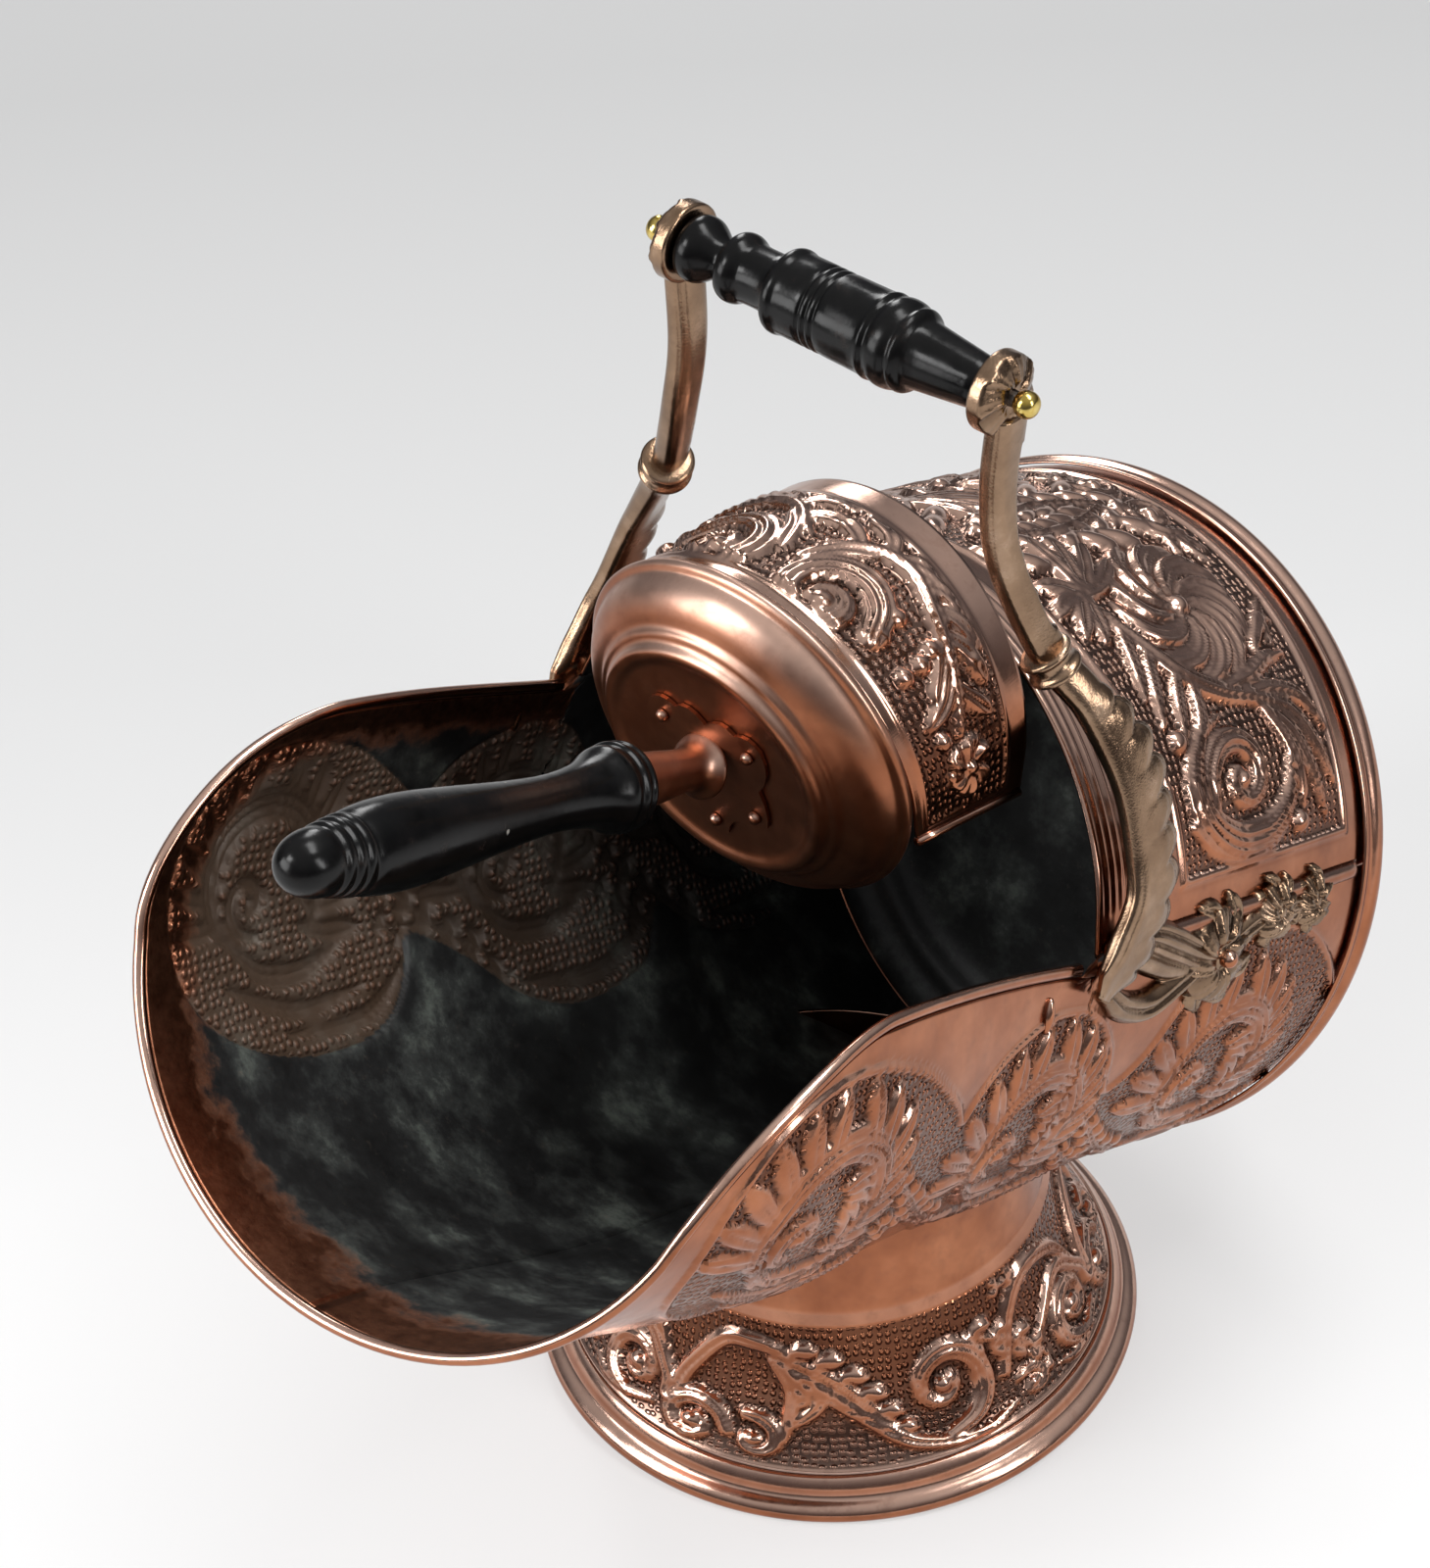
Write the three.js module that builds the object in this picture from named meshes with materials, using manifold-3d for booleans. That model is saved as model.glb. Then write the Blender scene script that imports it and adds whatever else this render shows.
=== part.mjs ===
// Embossed copper helmet coal scuttle with a turned carrying grip and a coal shovel.
// Millimetres, +Z up, the mouth opens towards -Y and x = 0 is the scuttle's plane of symmetry.
// The sizes below are measured from the floor under the middle of the round foot.
import * as THREE from 'three';
import { ParametricGeometry } from 'three/addons/geometries/ParametricGeometry.js';
import { mergeVertices } from 'three/addons/utils/BufferGeometryUtils.js';
import Module from 'manifold-3d';

const wasm = await Module();
wasm.setup();

// ---------------------------------------------------------------- driving dimensions
const seat = 0.3; // clearance between two pieces that touch
const copperSheet = 1.4; // wall of the raised copper bodies
const degrees = Math.PI / 180;

// Foot: a flared bell on a rolled base ring.
const footRadius = 125;
const footBandRadius = 113; // where the embossed band meets the base ring
const footBandBase = 18; // height of that line
const neckRadius = 88; // lower edge of the plain neck
const neckHeight = 80;
const neckTopRadius = 79;
const neckTopHeight = 132; // the neck is cut here by the barrel's underside
const neckBead = 1.6; // raised line round the neck's lower edge

// Barrel: a tilted cylinder whose lower half runs on as the mouth. Stations are measured along
// its axis from the back, angles round it from its lowest line.
const barrelTilt = 23.8 * degrees;
const heelY = 108.11; // the lowest point of the barrel's back end
const heelZ = 37.78;
const backRadius = 138.5;
const waistStation = 190;
const waistDraw = 5.5; // the sides are drawn in here, and flare out again towards the mouth
const flareStation = 355;
const mouthFlare = 3;
const lipStation = 437.5; // lowest point of the pouring lip
const lipDraw = 6.5;
const lipLift = 22; // the bottom line rises by this to the lip
const lipRiseStation = 250; // where the bottom line starts to rise to the lip
const shoulderStation = 418; // end of the lip's flat front
const shoulderAngle = 76 * degrees;
const cornerStation = 323; // end of the straight side edge
const cornerAngle = 107.3 * degrees;
const edgeStartAngle = 102.2 * degrees; // the side edge just in front of the hood
const seamAngle = 104 * degrees; // joint between the lower body and the hood
const hoodLength = 187;
const rimWireRadius = 2.4;

// Back end of the barrel.
const backRingWidth = 15;
const backRingBead = 3.4;
const backDishDepth = 17;

// Reeds round the hood's front edge, and the strips over the seams.
const reedBandWidth = 22;
const reedCount = 5;
const reedHeight = 0.9;
const hoodRowStep = 14; // rows of the sheet under the hood's embossed panel
const seamBeadWidth = 7;
const seamBeadHeight = 3.4;

// Carrying arms, their end drums and the grip between them.
const gripY = 20.7;
const gripZ = 496;
const gripLength = 138.2;
const drumThickness = 11;
const drumRadius = 15.4;
const rodRadius = 3.2;
const ballRadius = 5.2;
const armWidth = 11.5; // upper part of the arm
const armThickness = 9.5;
const leafWidth = 17.5; // leafed lower part
const leafThickness = 9;
const castWall = 2.6;
const collarRadius = 9.2;
const armFootStandOff = 5.4;
const floretRadius = 19.5;
const floretHeight = 8.5;
const smallFloretRadius = 10.5;
const floretStation = 108;
const rivetHeadRadius = 3.8;

// Fixed bow handle on the back dish.
const bowHalfSpan = 46;
const bowReach = 40;
const bowRadius = 5.2;
const bowPadRadius = 13;

// Shovel: an arched pan on a stepped end disc, with a riveted plate, a socket and a wood handle.
const shovelRest = new THREE.Vector3(-1.3, -83.8, -26.5); // from the top of the hood's edge
const shovelPitch = 4.9 * degrees;
const shovelYaw = -1.4 * degrees;
const discRadius = 75;
const discFlatRadius = 49.6;
const discForward = 23.6; // from the pan joint to the rim of the flat
const panTilt = 15 * degrees; // the pan slopes down from the disc to its mouth
const panTurn = 4.4 * degrees; // and stands a little aside, bent by use
const panSink = 4; // its axis starts this far below the middle of the disc
const panLap = 1.6; // the pan's back end lies this far inside the disc's edge
const panFlare = 2.6; // the mouth is wider than the back by this
const panLength = 67.5;
const panSideDrop = 17; // the side walls reach this far below the pan's axis
const panEdgeBead = 1.9;
const plateThickness = 1.5;
const plateHalfWidth = 27;
const plateTop = 24;
const plateBottom = 37;
const smallRivetRadius = 2.3;
const handleRise = 31.2 * degrees;
const socketLength = 50;
const socketRootRadius = 7.6;
const socketEndRadius = 11.4;
const woodLength = 186;

const roundFacets = 28;

// ---------------------------------------------------------------- finishes
const finish = (color, roughness, metalness) =>
  new THREE.MeshStandardMaterial({ color, roughness, metalness });
const copper = finish('#a8694a', 0.26, 1);
const bronze = finish('#977650', 0.34, 1);
const brass = finish('#c9a94a', 0.18, 1);
const steel = finish('#6a6866', 0.45, 1);
const ebonised = finish('#0f0d0c', 0.28, 0);

// ---------------------------------------------------------------- shared shaping functions
// One closed body: shared corners merged, empty faces dropped, faces turned outwards.
function closed(geometry) {
  const bare = geometry.clone();
  bare.deleteAttribute('uv');
  bare.deleteAttribute('normal');
  const merged = mergeVertices(bare, 1e-3);
  const position = merged.getAttribute('position');
  const corner = [0, 1, 2].map(() => new THREE.Vector3());
  const faces = [];
  let volume = 0;
  for (let i = 0; i < merged.index.count; i += 3) {
    const face = [0, 1, 2].map((k) => merged.index.getX(i + k));
    if (new Set(face).size < 3) continue;
    face.forEach((vertex, k) => corner[k].fromBufferAttribute(position, vertex));
    volume += corner[0].dot(corner[1].clone().cross(corner[2]));
    faces.push(face);
  }
  merged.setIndex(faces.flatMap((face) => (volume > 0 ? face : face.reverse())));
  return merged;
}

const toSolid = (geometry) => {
  const body = closed(geometry);
  return new wasm.Manifold(new wasm.Mesh({
    numProp: 3,
    vertProperties: new Float32Array(body.getAttribute('position').array),
    triVerts: new Uint32Array(body.index.array),
  }));
};

function toGeometry(solid) {
  const mesh = solid.getMesh();
  const geometry = new THREE.BufferGeometry();
  geometry.setAttribute('position', new THREE.BufferAttribute(mesh.vertProperties, 3));
  geometry.setIndex(new THREE.BufferAttribute(mesh.triVerts, 1));
  return geometry;
}

const join = (...geometries) => toGeometry(geometries.map(toSolid).reduce((a, b) => a.add(b)));
const cut = (geometry, ...tools) =>
  toGeometry(tools.map(toSolid).reduce((body, tool) => body.subtract(tool), toSolid(geometry)));

// A body skinned over closed rings: ring(t, a) gives the point at a (0..1) round the ring at t
// (0..1) along it, and middle(t, a) the points that its two ends close on.
function loft(ring, middle, around, along) {
  const rows = along + 2;
  const point = (u, v, target) => {
    const row = Math.round(v * rows);
    const t = THREE.MathUtils.clamp((row - 1) / along, 0, 1);
    const a = (Math.round(u * around) % around) / around;
    target.copy(row === 0 || row === rows ? middle(t, a) : ring(t, a));
  };
  return closed(new ParametricGeometry(point, around, rows));
}

// A bent sheet: surface(t, w, side) gives its outer (0) and inner (1) face, w across, t along.
function sheet(surface, across, along) {
  const count = 2 * (across + 1);
  const place = (a) => {
    const i = Math.round(a * count);
    return i <= across ? [i / across, 0] : [(count - 1 - i) / across, 1];
  };
  const ring = (t, a) => surface(t, ...place(a));
  const middle = (t, a) => {
    const [w] = place(a);
    return surface(t, w, 0).lerp(surface(t, w, 1), 0.5);
  };
  return loft(ring, middle, count, along);
}

// A bar along a course with its own section at each place. section(t, angle) gives the offset
// [across, outwards]; outwards is the side that faces away from the plane of symmetry.
function bar(course, section, around, along, outwards = new THREE.Vector3(1, 0, 0)) {
  const ring = (t, a) => {
    const tangent = course.getTangentAt(t);
    const across = tangent.clone().cross(outwards).normalize();
    const away = across.clone().cross(tangent).normalize();
    const [w, n] = section(t, a * 2 * Math.PI);
    return course.getPointAt(t).addScaledVector(across, w).addScaledVector(away, n);
  };
  return loft(ring, (t) => course.getPointAt(t), around, along);
}

const revolve = (points, facets = roundFacets) =>
  closed(new THREE.LatheGeometry(points.map(([r, y]) => new THREE.Vector2(r, y)), facets));

// The closed outline of a wall: an outer line and the same line set in by the wall.
function wallOutline(points, wall) {
  const inner = points.map(([r, y], i) => {
    const [r0, y0] = points[Math.max(i - 1, 0)];
    const [r1, y1] = points[Math.min(i + 1, points.length - 1)];
    const length = Math.hypot(r1 - r0, y1 - y0);
    return [Math.max(r - (wall * (y1 - y0)) / length, 0), y + (wall * (r1 - r0)) / length];
  });
  return [...points, ...inner.reverse(), points[0]];
}

const curvePoints = (curve, count) => curve.getPoints(count).map((p) => [p.x, p.y]);
const bend = (p0, c0, c1, p1, count) => curvePoints(new THREE.CubicBezierCurve(
  new THREE.Vector2(...p0), new THREE.Vector2(...c0),
  new THREE.Vector2(...c1), new THREE.Vector2(...p1)), count);

// A smooth value through [place, value] stations.
const eased = (...stations) => (place) => {
  const next = stations.findIndex(([at]) => at > place);
  if (next < 0) return stations[stations.length - 1][1];
  if (next === 0) return stations[0][1];
  const [[from, low], [to, high]] = [stations[next - 1], stations[next]];
  return THREE.MathUtils.lerp(low, high, THREE.MathUtils.smoothstep(place, from, to));
};

const alongX = (geometry) => geometry.rotateZ(-Math.PI / 2); // a turned piece's axis onto +X
const alongZ = (geometry) => geometry.rotateX(Math.PI / 2); // a turned piece's axis onto +Z
const mirrorX = (geometry) => closed(geometry.clone().scale(-1, 1, 1));
const add = (parent, name, geometry, material) => {
  const mesh = new THREE.Mesh(geometry, material);
  mesh.name = name;
  parent.add(mesh);
};

const scuttle = new THREE.Group();

// ---------------------------------------------------------------- the barrel's frame and form
// In the barrel's own frame the axis runs along -Y to the mouth and +Z is away from the bottom.
const barrel = new THREE.Group();
const barrelBackY = heelY + backRadius * Math.sin(barrelTilt);
const barrelBackZ = heelZ + backRadius * Math.cos(barrelTilt);
const flareSideRadius = backRadius + mouthFlare;
barrel.position.set(0, barrelBackY, barrelBackZ);
barrel.rotation.x = -barrelTilt;
barrel.updateMatrix();
scuttle.add(barrel);
const toBarrel = barrel.matrix.clone().invert();

const sideRadius = eased([0, backRadius], [waistStation, backRadius - waistDraw],
  [flareStation, flareSideRadius], [lipStation, backRadius - lipDraw]);
const bottomRadius = eased([lipRiseStation, backRadius], [lipStation, backRadius - lipLift]);
const skinRadius = (station, angle) => {
  const depth = Math.cos(angle) > 0 ? bottomRadius(station) : backRadius;
  return 1 / Math.hypot(Math.sin(angle) / sideRadius(station), Math.cos(angle) / depth);
};
const onBarrel = (station, angle, radius) =>
  new THREE.Vector3(radius * Math.sin(angle), -station, -radius * Math.cos(angle));

// The main forms of the embossing, as low swells in the sheet: [station, angle, spread, rise]. The
// angle is the barrel's on the body, and is measured down from the top line on the hood. The
// spread is the angle from a swell's middle to its edge.
const sideSwells = [[340, 74.6, 20.7, 3.4], [203, 71.2, 19.9, 3.4], [76, 70.4, 19, 3.2]];
const hoodSwells = [
  [75, 25.2, 15.3, 3.4], [86, 55.4, 11.2, 3.4], [88, 5.8, 9.1, 3], [130, 17.4, 8.3, 3]];
const swellAt = (swells, station, angle) => swells.reduce((height, [at, turn, spread, rise]) => {
  const across = (Math.abs(angle) - turn * degrees) * backRadius;
  const radius = spread * degrees * backRadius;
  const share = 1 - ((station - at) ** 2 + across ** 2) / radius ** 2;
  return Math.max(height, share > 0 ? rise * Math.sqrt(share) : 0);
}, 0);

// The free edge: how far round the side wall reaches at a station, and how far forward the
// mouth reaches at an angle. inset draws both back along the sheet.
function edgeAngle(station, inset = 0) {
  if (station <= hoodLength) return seamAngle - seat / backRadius;
  const t = Math.min((station - hoodLength) / (cornerStation - hoodLength), 1);
  const angle = THREE.MathUtils.lerp(edgeStartAngle, cornerAngle, Math.sin((t * Math.PI) / 2));
  return angle - inset / sideRadius(station);
}
function mouthStation(angle, inset = 0) {
  const turn = Math.abs(angle);
  const top = cornerAngle - inset / flareSideRadius;
  if (turn <= shoulderAngle) {
    const fall = lipStation - shoulderStation;
    return lipStation - inset - fall * (turn / shoulderAngle) ** 2;
  }
  const t = Math.min((turn - shoulderAngle) / (top - shoulderAngle), 1);
  return cornerStation + (shoulderStation - inset - cornerStation) * (1 - t ** 1.8) ** 0.6;
}

// The lower body between two skins, drawn back from its free edge by inset.
function lowerBody(outer, inner, inset, across, along) {
  const backStation = seat + 1.2;
  const rowsUnderHood = 8;
  const edgeCrowding = 0.35; // how much closer the columns stand towards the sides
  return sheet((t, w, side) => {
    const turn = 2 * w - 1;
    const share = THREE.MathUtils.lerp(turn, Math.sin((turn * Math.PI) / 2), edgeCrowding);
    const end = mouthStation(share * (cornerAngle - inset / flareSideRadius), inset);
    const row = Math.round(t * along);
    const ahead = (row - rowsUnderHood - 1) / (along - rowsUnderHood - 1);
    const station = row <= rowsUnderHood
      ? THREE.MathUtils.lerp(backStation, hoodLength, row / rowsUnderHood)
      : THREE.MathUtils.lerp(hoodLength + 1, end, ahead);
    const angle = share * edgeAngle(station, inset);
    const skin = skinRadius(station, angle) + swellAt(sideSwells, station, angle);
    return onBarrel(station, angle, skin + (side ? inner : outer));
  }, across, along);
}

// What lies inside the barrel's skin, for cutting the pieces that seat on it. Its flats are
// tangent to the skin, so that nothing cut by it reaches into the sheet.
const coreFlats = 48;
const barrelCore = (clearance) => loft(
  (t, a) => {
    const station = THREE.MathUtils.lerp(-backRingWidth, lipStation, t);
    const angle = a * 2 * Math.PI;
    const radius = (skinRadius(station, angle) + clearance) / Math.cos(Math.PI / coreFlats);
    return onBarrel(station, angle, radius);
  },
  (t) => onBarrel(THREE.MathUtils.lerp(-backRingWidth, lipStation, t), 0, 0), coreFlats, 12);

// ---------------------------------------------------------------- foot
const between = ([r0, z0], [r1, z1], inward, upward) =>
  [THREE.MathUtils.lerp(r0, r1, inward), THREE.MathUtils.lerp(z0, z1, upward)];
const bandLow = [footBandRadius, footBandBase];
const bandHigh = [neckRadius, neckHeight];
const footBand = bend(bandLow, between(bandLow, bandHigh, 0.44, 0.16),
  between(bandLow, bandHigh, 0.84, 0.55), bandHigh, 6);
const neckLow = [neckRadius - neckBead, neckHeight + neckBead];
const neckHigh = [neckTopRadius, neckTopHeight];
const neck = bend(neckLow, between(neckLow, neckHigh, 0.19, 0.21),
  between(neckLow, neckHigh, 0.73, 0.52), neckHigh, 2);
const footCup = alongZ(revolve(wallOutline([...footBand, ...neck], copperSheet)));
const coreInRoom = barrelCore(seat).applyMatrix4(barrel.matrix);
const ringRoom = backRadius + backRingBead + 4 * seat;
const ringInRoom = closed(new THREE.CylinderGeometry(ringRoom, ringRoom, 2 * backRingWidth,
  coreFlats)).applyMatrix4(barrel.matrix);
add(scuttle, 'foot_bell', cut(footCup, coreInRoom, ringInRoom), copper);

// The base ring: a rolled outer edge, a cove and a raised inner line under the band.
const ringInner = footBandRadius - 6;
const baseRingOutline = [
  [ringInner, 0], [footRadius - 3, 0], [footRadius, 2.4], [footRadius - 0.6, 5.6],
  [footRadius - 3.2, 8.2], [footRadius - 5.6, 9], [footRadius - 6.6, 10.4],
  [footRadius - 7.4, 13.4], [footRadius - 9.6, footBandBase - 1.4],
  [footBandRadius + 1.2, footBandBase - seat],
  [footBandRadius - 1.8, footBandBase - copperSheet - seat],
  [ringInner, footBandBase - 6], [ringInner, 0]];
add(scuttle, 'foot_base_ring', alongZ(revolve(baseRingOutline)), copper);

// ---------------------------------------------------------------- lower body and mouth rim
const bodyInset = rimWireRadius + seat + 0.2;
add(barrel, 'body_lower', lowerBody(0, -copperSheet, bodyInset, 26, 18), copper);

// The wired edge runs from one arm round the pouring lip to the other.
const wireStart = hoodLength + 11;
const rimCourse = [];
const sideSteps = 6;
const frontSteps = 36;
const wireRadiusAt = (station, angle) => skinRadius(station, angle) - copperSheet / 2;
for (let i = 0; i < sideSteps; i += 1) {
  const station = THREE.MathUtils.lerp(wireStart, cornerStation, i / sideSteps);
  const angle = edgeAngle(station);
  rimCourse.push(onBarrel(station, angle, wireRadiusAt(station, angle)));
}
const sideCount = rimCourse.length;
for (let i = 0; i <= frontSteps; i += 1) {
  const angle = cornerAngle * Math.sin(Math.PI / 2 - (Math.PI * i) / frontSteps);
  const station = mouthStation(angle);
  rimCourse.push(onBarrel(station, angle, wireRadiusAt(station, angle)));
}
for (let i = sideCount - 1; i >= 0; i -= 1) {
  rimCourse.push(rimCourse[i].clone().multiply(new THREE.Vector3(-1, 1, 1)));
}
const wireSection = new THREE.Shape().absarc(0, 0, rimWireRadius, 0, 2 * Math.PI);
add(barrel, 'mouth_rim_wire', closed(new THREE.ExtrudeGeometry(wireSection, {
  extrudePath: new THREE.CatmullRomCurve3(rimCourse),
  steps: 64,
  curveSegments: 3,
})), copper);

// A short raised bead stands just below the rim, ahead of each arm.
const beadStation = wireStart + 19;
const beadCourse = new THREE.LineCurve3(
  onBarrel(beadStation, 100 * degrees, skinRadius(beadStation, 100 * degrees) + 1.9),
  onBarrel(beadStation, 94 * degrees, skinRadius(beadStation, 94 * degrees) + 1.9));
const sideBead = bar(beadCourse, (t, angle) => [1.9 * Math.cos(angle), 1.5 * Math.sin(angle)], 8, 2);
add(barrel, 'side_bead_right', sideBead, copper);
add(barrel, 'side_bead_left', mirrorX(sideBead), copper);

// ---------------------------------------------------------------- hood
// Reeds run round the front edge and fade out above the seams.
const reedStart = hoodLength - reedBandWidth;
function hoodRelief(station, angle) {
  const aboveSeam = THREE.MathUtils.smoothstep(angle, seamAngle + 0.08, seamAngle + 0.24);
  const wave = Math.sin(((station - reedStart) / reedBandWidth) * reedCount * Math.PI) ** 2;
  if (station > reedStart) return reedHeight * wave * aboveSeam;
  return swellAt(hoodSwells, station, Math.PI - angle);
}
const hoodStations = [0];
for (let station = hoodRowStep; station < reedStart - hoodRowStep / 2; station += hoodRowStep) {
  hoodStations.push(station / hoodLength);
}
for (let i = 0; i <= 2 * reedCount; i += 1) {
  hoodStations.push((reedStart + (i * reedBandWidth) / (2 * reedCount)) / hoodLength);
}
const hoodBack = seat + 1.2;
const hoodEdge = seamAngle + seat / backRadius;
const hood = sheet((t, w, side) => {
  const row = Math.round(t * (hoodStations.length - 1));
  const station = Math.max(hoodStations[row] * hoodLength, hoodBack);
  const angle = THREE.MathUtils.lerp(hoodEdge, 2 * Math.PI - hoodEdge, w);
  const fromTop = Math.min(angle, 2 * Math.PI - angle);
  const relief = hoodRelief(station, fromTop);
  return onBarrel(station, angle, skinRadius(station, angle) + (side ? -copperSheet : relief));
}, 26, hoodStations.length - 1);
add(barrel, 'hood', hood, copper);

// ---------------------------------------------------------------- seam beads
// A rounded cover strip lies over each joint between the body and the hood.
const seamEnd = hoodLength - 6;
const seamStart = backRingWidth - 3;
function seamStrip(clearance) {
  const half = seamBeadWidth / 2 + clearance;
  const rise = seamBeadHeight + clearance;
  const ring = (t, a) => {
    const station = THREE.MathUtils.lerp(seamStart - clearance, seamEnd + clearance, t);
    const turn = a * 2 * Math.PI;
    const offset = half * Math.cos(turn);
    const angle = seamAngle + offset / backRadius;
    const lift = Math.sin(turn) > 0 ? seat + rise * Math.sin(turn) : seat - clearance;
    return onBarrel(station, angle, skinRadius(station, angle) + lift);
  };
  const middle = (t) => ring(t, 0).lerp(ring(t, 0.5), 0.5);
  return loft(ring, middle, 10, 5);
}
add(barrel, 'seam_bead_right', seamStrip(0), copper);
add(barrel, 'seam_bead_left', mirrorX(seamStrip(0)), copper);

// ---------------------------------------------------------------- back ring and back dish
// Revolved about the barrel's axis: r, then the place along -Y, so stations are negated.
const aboutBarrel = (outline) => revolve(outline.map(([r, station]) => [r, -station]));
const ringBore = (backRadius + seat) / Math.cos(Math.PI / roundFacets);
add(barrel, 'back_ring', aboutBarrel([
  [ringBore, backRingWidth - 6], [ringBore + 0.9, backRingWidth - 6],
  [ringBore + 2.2, backRingWidth - 7.6], [ringBore + 1.4, backRingWidth - 9.6],
  [ringBore + 1.2, backRingWidth - 11], [ringBore + backRingBead - 0.6, backRingWidth - 13],
  [ringBore + backRingBead, backRingWidth - 16], [ringBore + backRingBead - 1.4, -4.6],
  [ringBore + 0.4, -6], [ringBore, -5.6], [ringBore, backRingWidth - 6],
]), copper);
const dishStep = backDishDepth / 17;
const dishLine = [
  [backRadius - 0.4, -0.8], [backRadius - 9, -1.6], [backRadius - 13, -4 * dishStep],
  [backRadius - 18, -9.4 * dishStep], [backRadius - 24, -11.4 * dishStep],
  [backRadius - 27, -11.6 * dishStep], [backRadius - 30, -14 * dishStep],
  [backRadius - 37, -15.2 * dishStep], [bowHalfSpan + bowPadRadius + 4, -backDishDepth],
  [0, -backDishDepth]];
const dishInner = dishLine.map(([r, station]) => [r, station + copperSheet]).reverse();
add(barrel, 'back_dish', aboutBarrel([...[...dishLine].reverse(), ...[...dishInner].reverse()]),
  copper);

// ---------------------------------------------------------------- back bow handle
// A cast bow stands off the dish on two round pads, each with one rivet.
const dishFace = -backDishDepth - seat;
const bowEnd = new THREE.Vector3(bowHalfSpan, -dishFace + 2, 0);
const bowCourse = new THREE.CatmullRomCurve3([
  bowEnd.clone(),
  new THREE.Vector3(bowHalfSpan + 2, bowEnd.y + bowReach * 0.55, 0),
  new THREE.Vector3(bowHalfSpan * 0.72, bowEnd.y + bowReach * 0.95, 0),
  new THREE.Vector3(0, bowEnd.y + bowReach, 0),
  new THREE.Vector3(-bowHalfSpan * 0.72, bowEnd.y + bowReach * 0.95, 0),
  new THREE.Vector3(-bowHalfSpan - 2, bowEnd.y + bowReach * 0.55, 0),
  bowEnd.clone().setX(-bowHalfSpan),
]);
const bowSwell = (t) => bowRadius * (0.8 + 0.35 * Math.sin(t * Math.PI));
const bow = bar(bowCourse, (t, angle) =>
  [bowSwell(t) * Math.cos(angle), bowSwell(t) * Math.sin(angle)], 8, 16,
new THREE.Vector3(0, 0, 1));
const bowPad = revolve([[0, 0], [bowPadRadius, 0], [bowPadRadius, 1.6],
  [bowPadRadius - 5, 4], [0, 5]], 16);
const bowPads = [-1, 1].map((side) =>
  bowPad.clone().translate(side * bowHalfSpan, -dishFace, 0));
const behindDish = 2 * backDishDepth;
const dishSolid = aboutBarrel(
  [[0, dishFace], [backRadius, dishFace], [backRadius, behindDish], [0, behindDish]]);
add(barrel, 'back_bow_handle', cut(join(bow, ...bowPads), dishSolid), bronze);

// ---------------------------------------------------------------- carrying arms
// Each arm is one casting: end drum, upper shaft, collar, hollow-backed leaf and the spray of
// three florets that is riveted over the seam.
const drumInner = gripLength / 2 + seat;
const drumMiddle = drumInner + drumThickness / 2;
const drum = alongX(revolve([
  [rodRadius + seat, -drumThickness / 2], [drumRadius - 1, -drumThickness / 2],
  [drumRadius, -drumThickness / 2 + 1], [drumRadius, drumThickness / 2 - 4.4],
  [drumRadius - 2.4, drumThickness / 2 - 1.6], [drumRadius - 7, drumThickness / 2],
  [rodRadius + seat, drumThickness / 2], [rodRadius + seat, -drumThickness / 2],
], 16)).translate(drumMiddle, gripY, gripZ);

const armFootStation = hoodLength + 0.5;
const armFootAngle = 97.5 * degrees;
const armFootRadius = skinRadius(armFootStation, armFootAngle) + armFootStandOff;
const armTop = new THREE.Vector3(drumMiddle, gripY, gripZ - drumRadius * 0.55);
const armFoot = onBarrel(armFootStation, armFootAngle, armFootRadius).applyMatrix4(barrel.matrix);
// Share of the drop, share of the spread, and how far the arm stands behind the grip's axis.
const armBow = [[0.15, -0.03, -2.5], [0.28, 0.04, -3.5], [0.455, 0.27, 3.5], [0.54, 0.48, 11],
  [0.655, 0.71, 17], [0.775, 0.87, 15], [0.86, 0.96, 9.5], [0.93, 0.985, -3]];
const armCourse = new THREE.CatmullRomCurve3([armTop, ...armBow.map(([drop, spread, back]) =>
  new THREE.Vector3(THREE.MathUtils.lerp(armTop.x, armFoot.x, spread), gripY + back,
    THREE.MathUtils.lerp(armTop.z, armFoot.z, drop))), armFoot]);
const collarShare = 0.425;
const leafShare = 0.5;
const armHalfWidth = eased([0, armWidth / 2 + 1], [0.2, armWidth / 2], [collarShare, armWidth / 2],
  [leafShare, armWidth / 2 + 0.5], [0.72, leafWidth / 2], [0.88, leafWidth / 2], [1, 2.4]);
const armHalfThickness = eased([0, armThickness / 2], [collarShare, armThickness / 2],
  [0.75, leafThickness / 2], [0.9, leafThickness / 2], [1, 1.6]);
const hollowShare = eased([leafShare, 0], [0.6, 1], [0.86, 1], [0.93, 0]);
const leafLobes = 7;
function armSection(t, angle) {
  const lobe = t > leafShare && t < 0.97
    ? 0.2 * Math.abs(Math.sin(((t - leafShare) / (0.97 - leafShare)) * leafLobes * Math.PI)) : 0;
  const serrated = Math.cos(angle) < 0 ? 1 + lobe : 1;
  const half = armHalfWidth(t);
  const thick = armHalfThickness(t);
  if (Math.sin(angle) >= 0) return [half * serrated * Math.cos(angle), thick * Math.sin(angle)];
  const hollow = hollowShare(t);
  const width = THREE.MathUtils.lerp(half, half - castWall / 2, hollow);
  const rise = THREE.MathUtils.lerp(thick, castWall - thick, hollow);
  return [width * serrated * Math.cos(angle), rise * Math.sin(angle)];
}
const armShaft = bar(armCourse, armSection, 8, 24);

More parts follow.
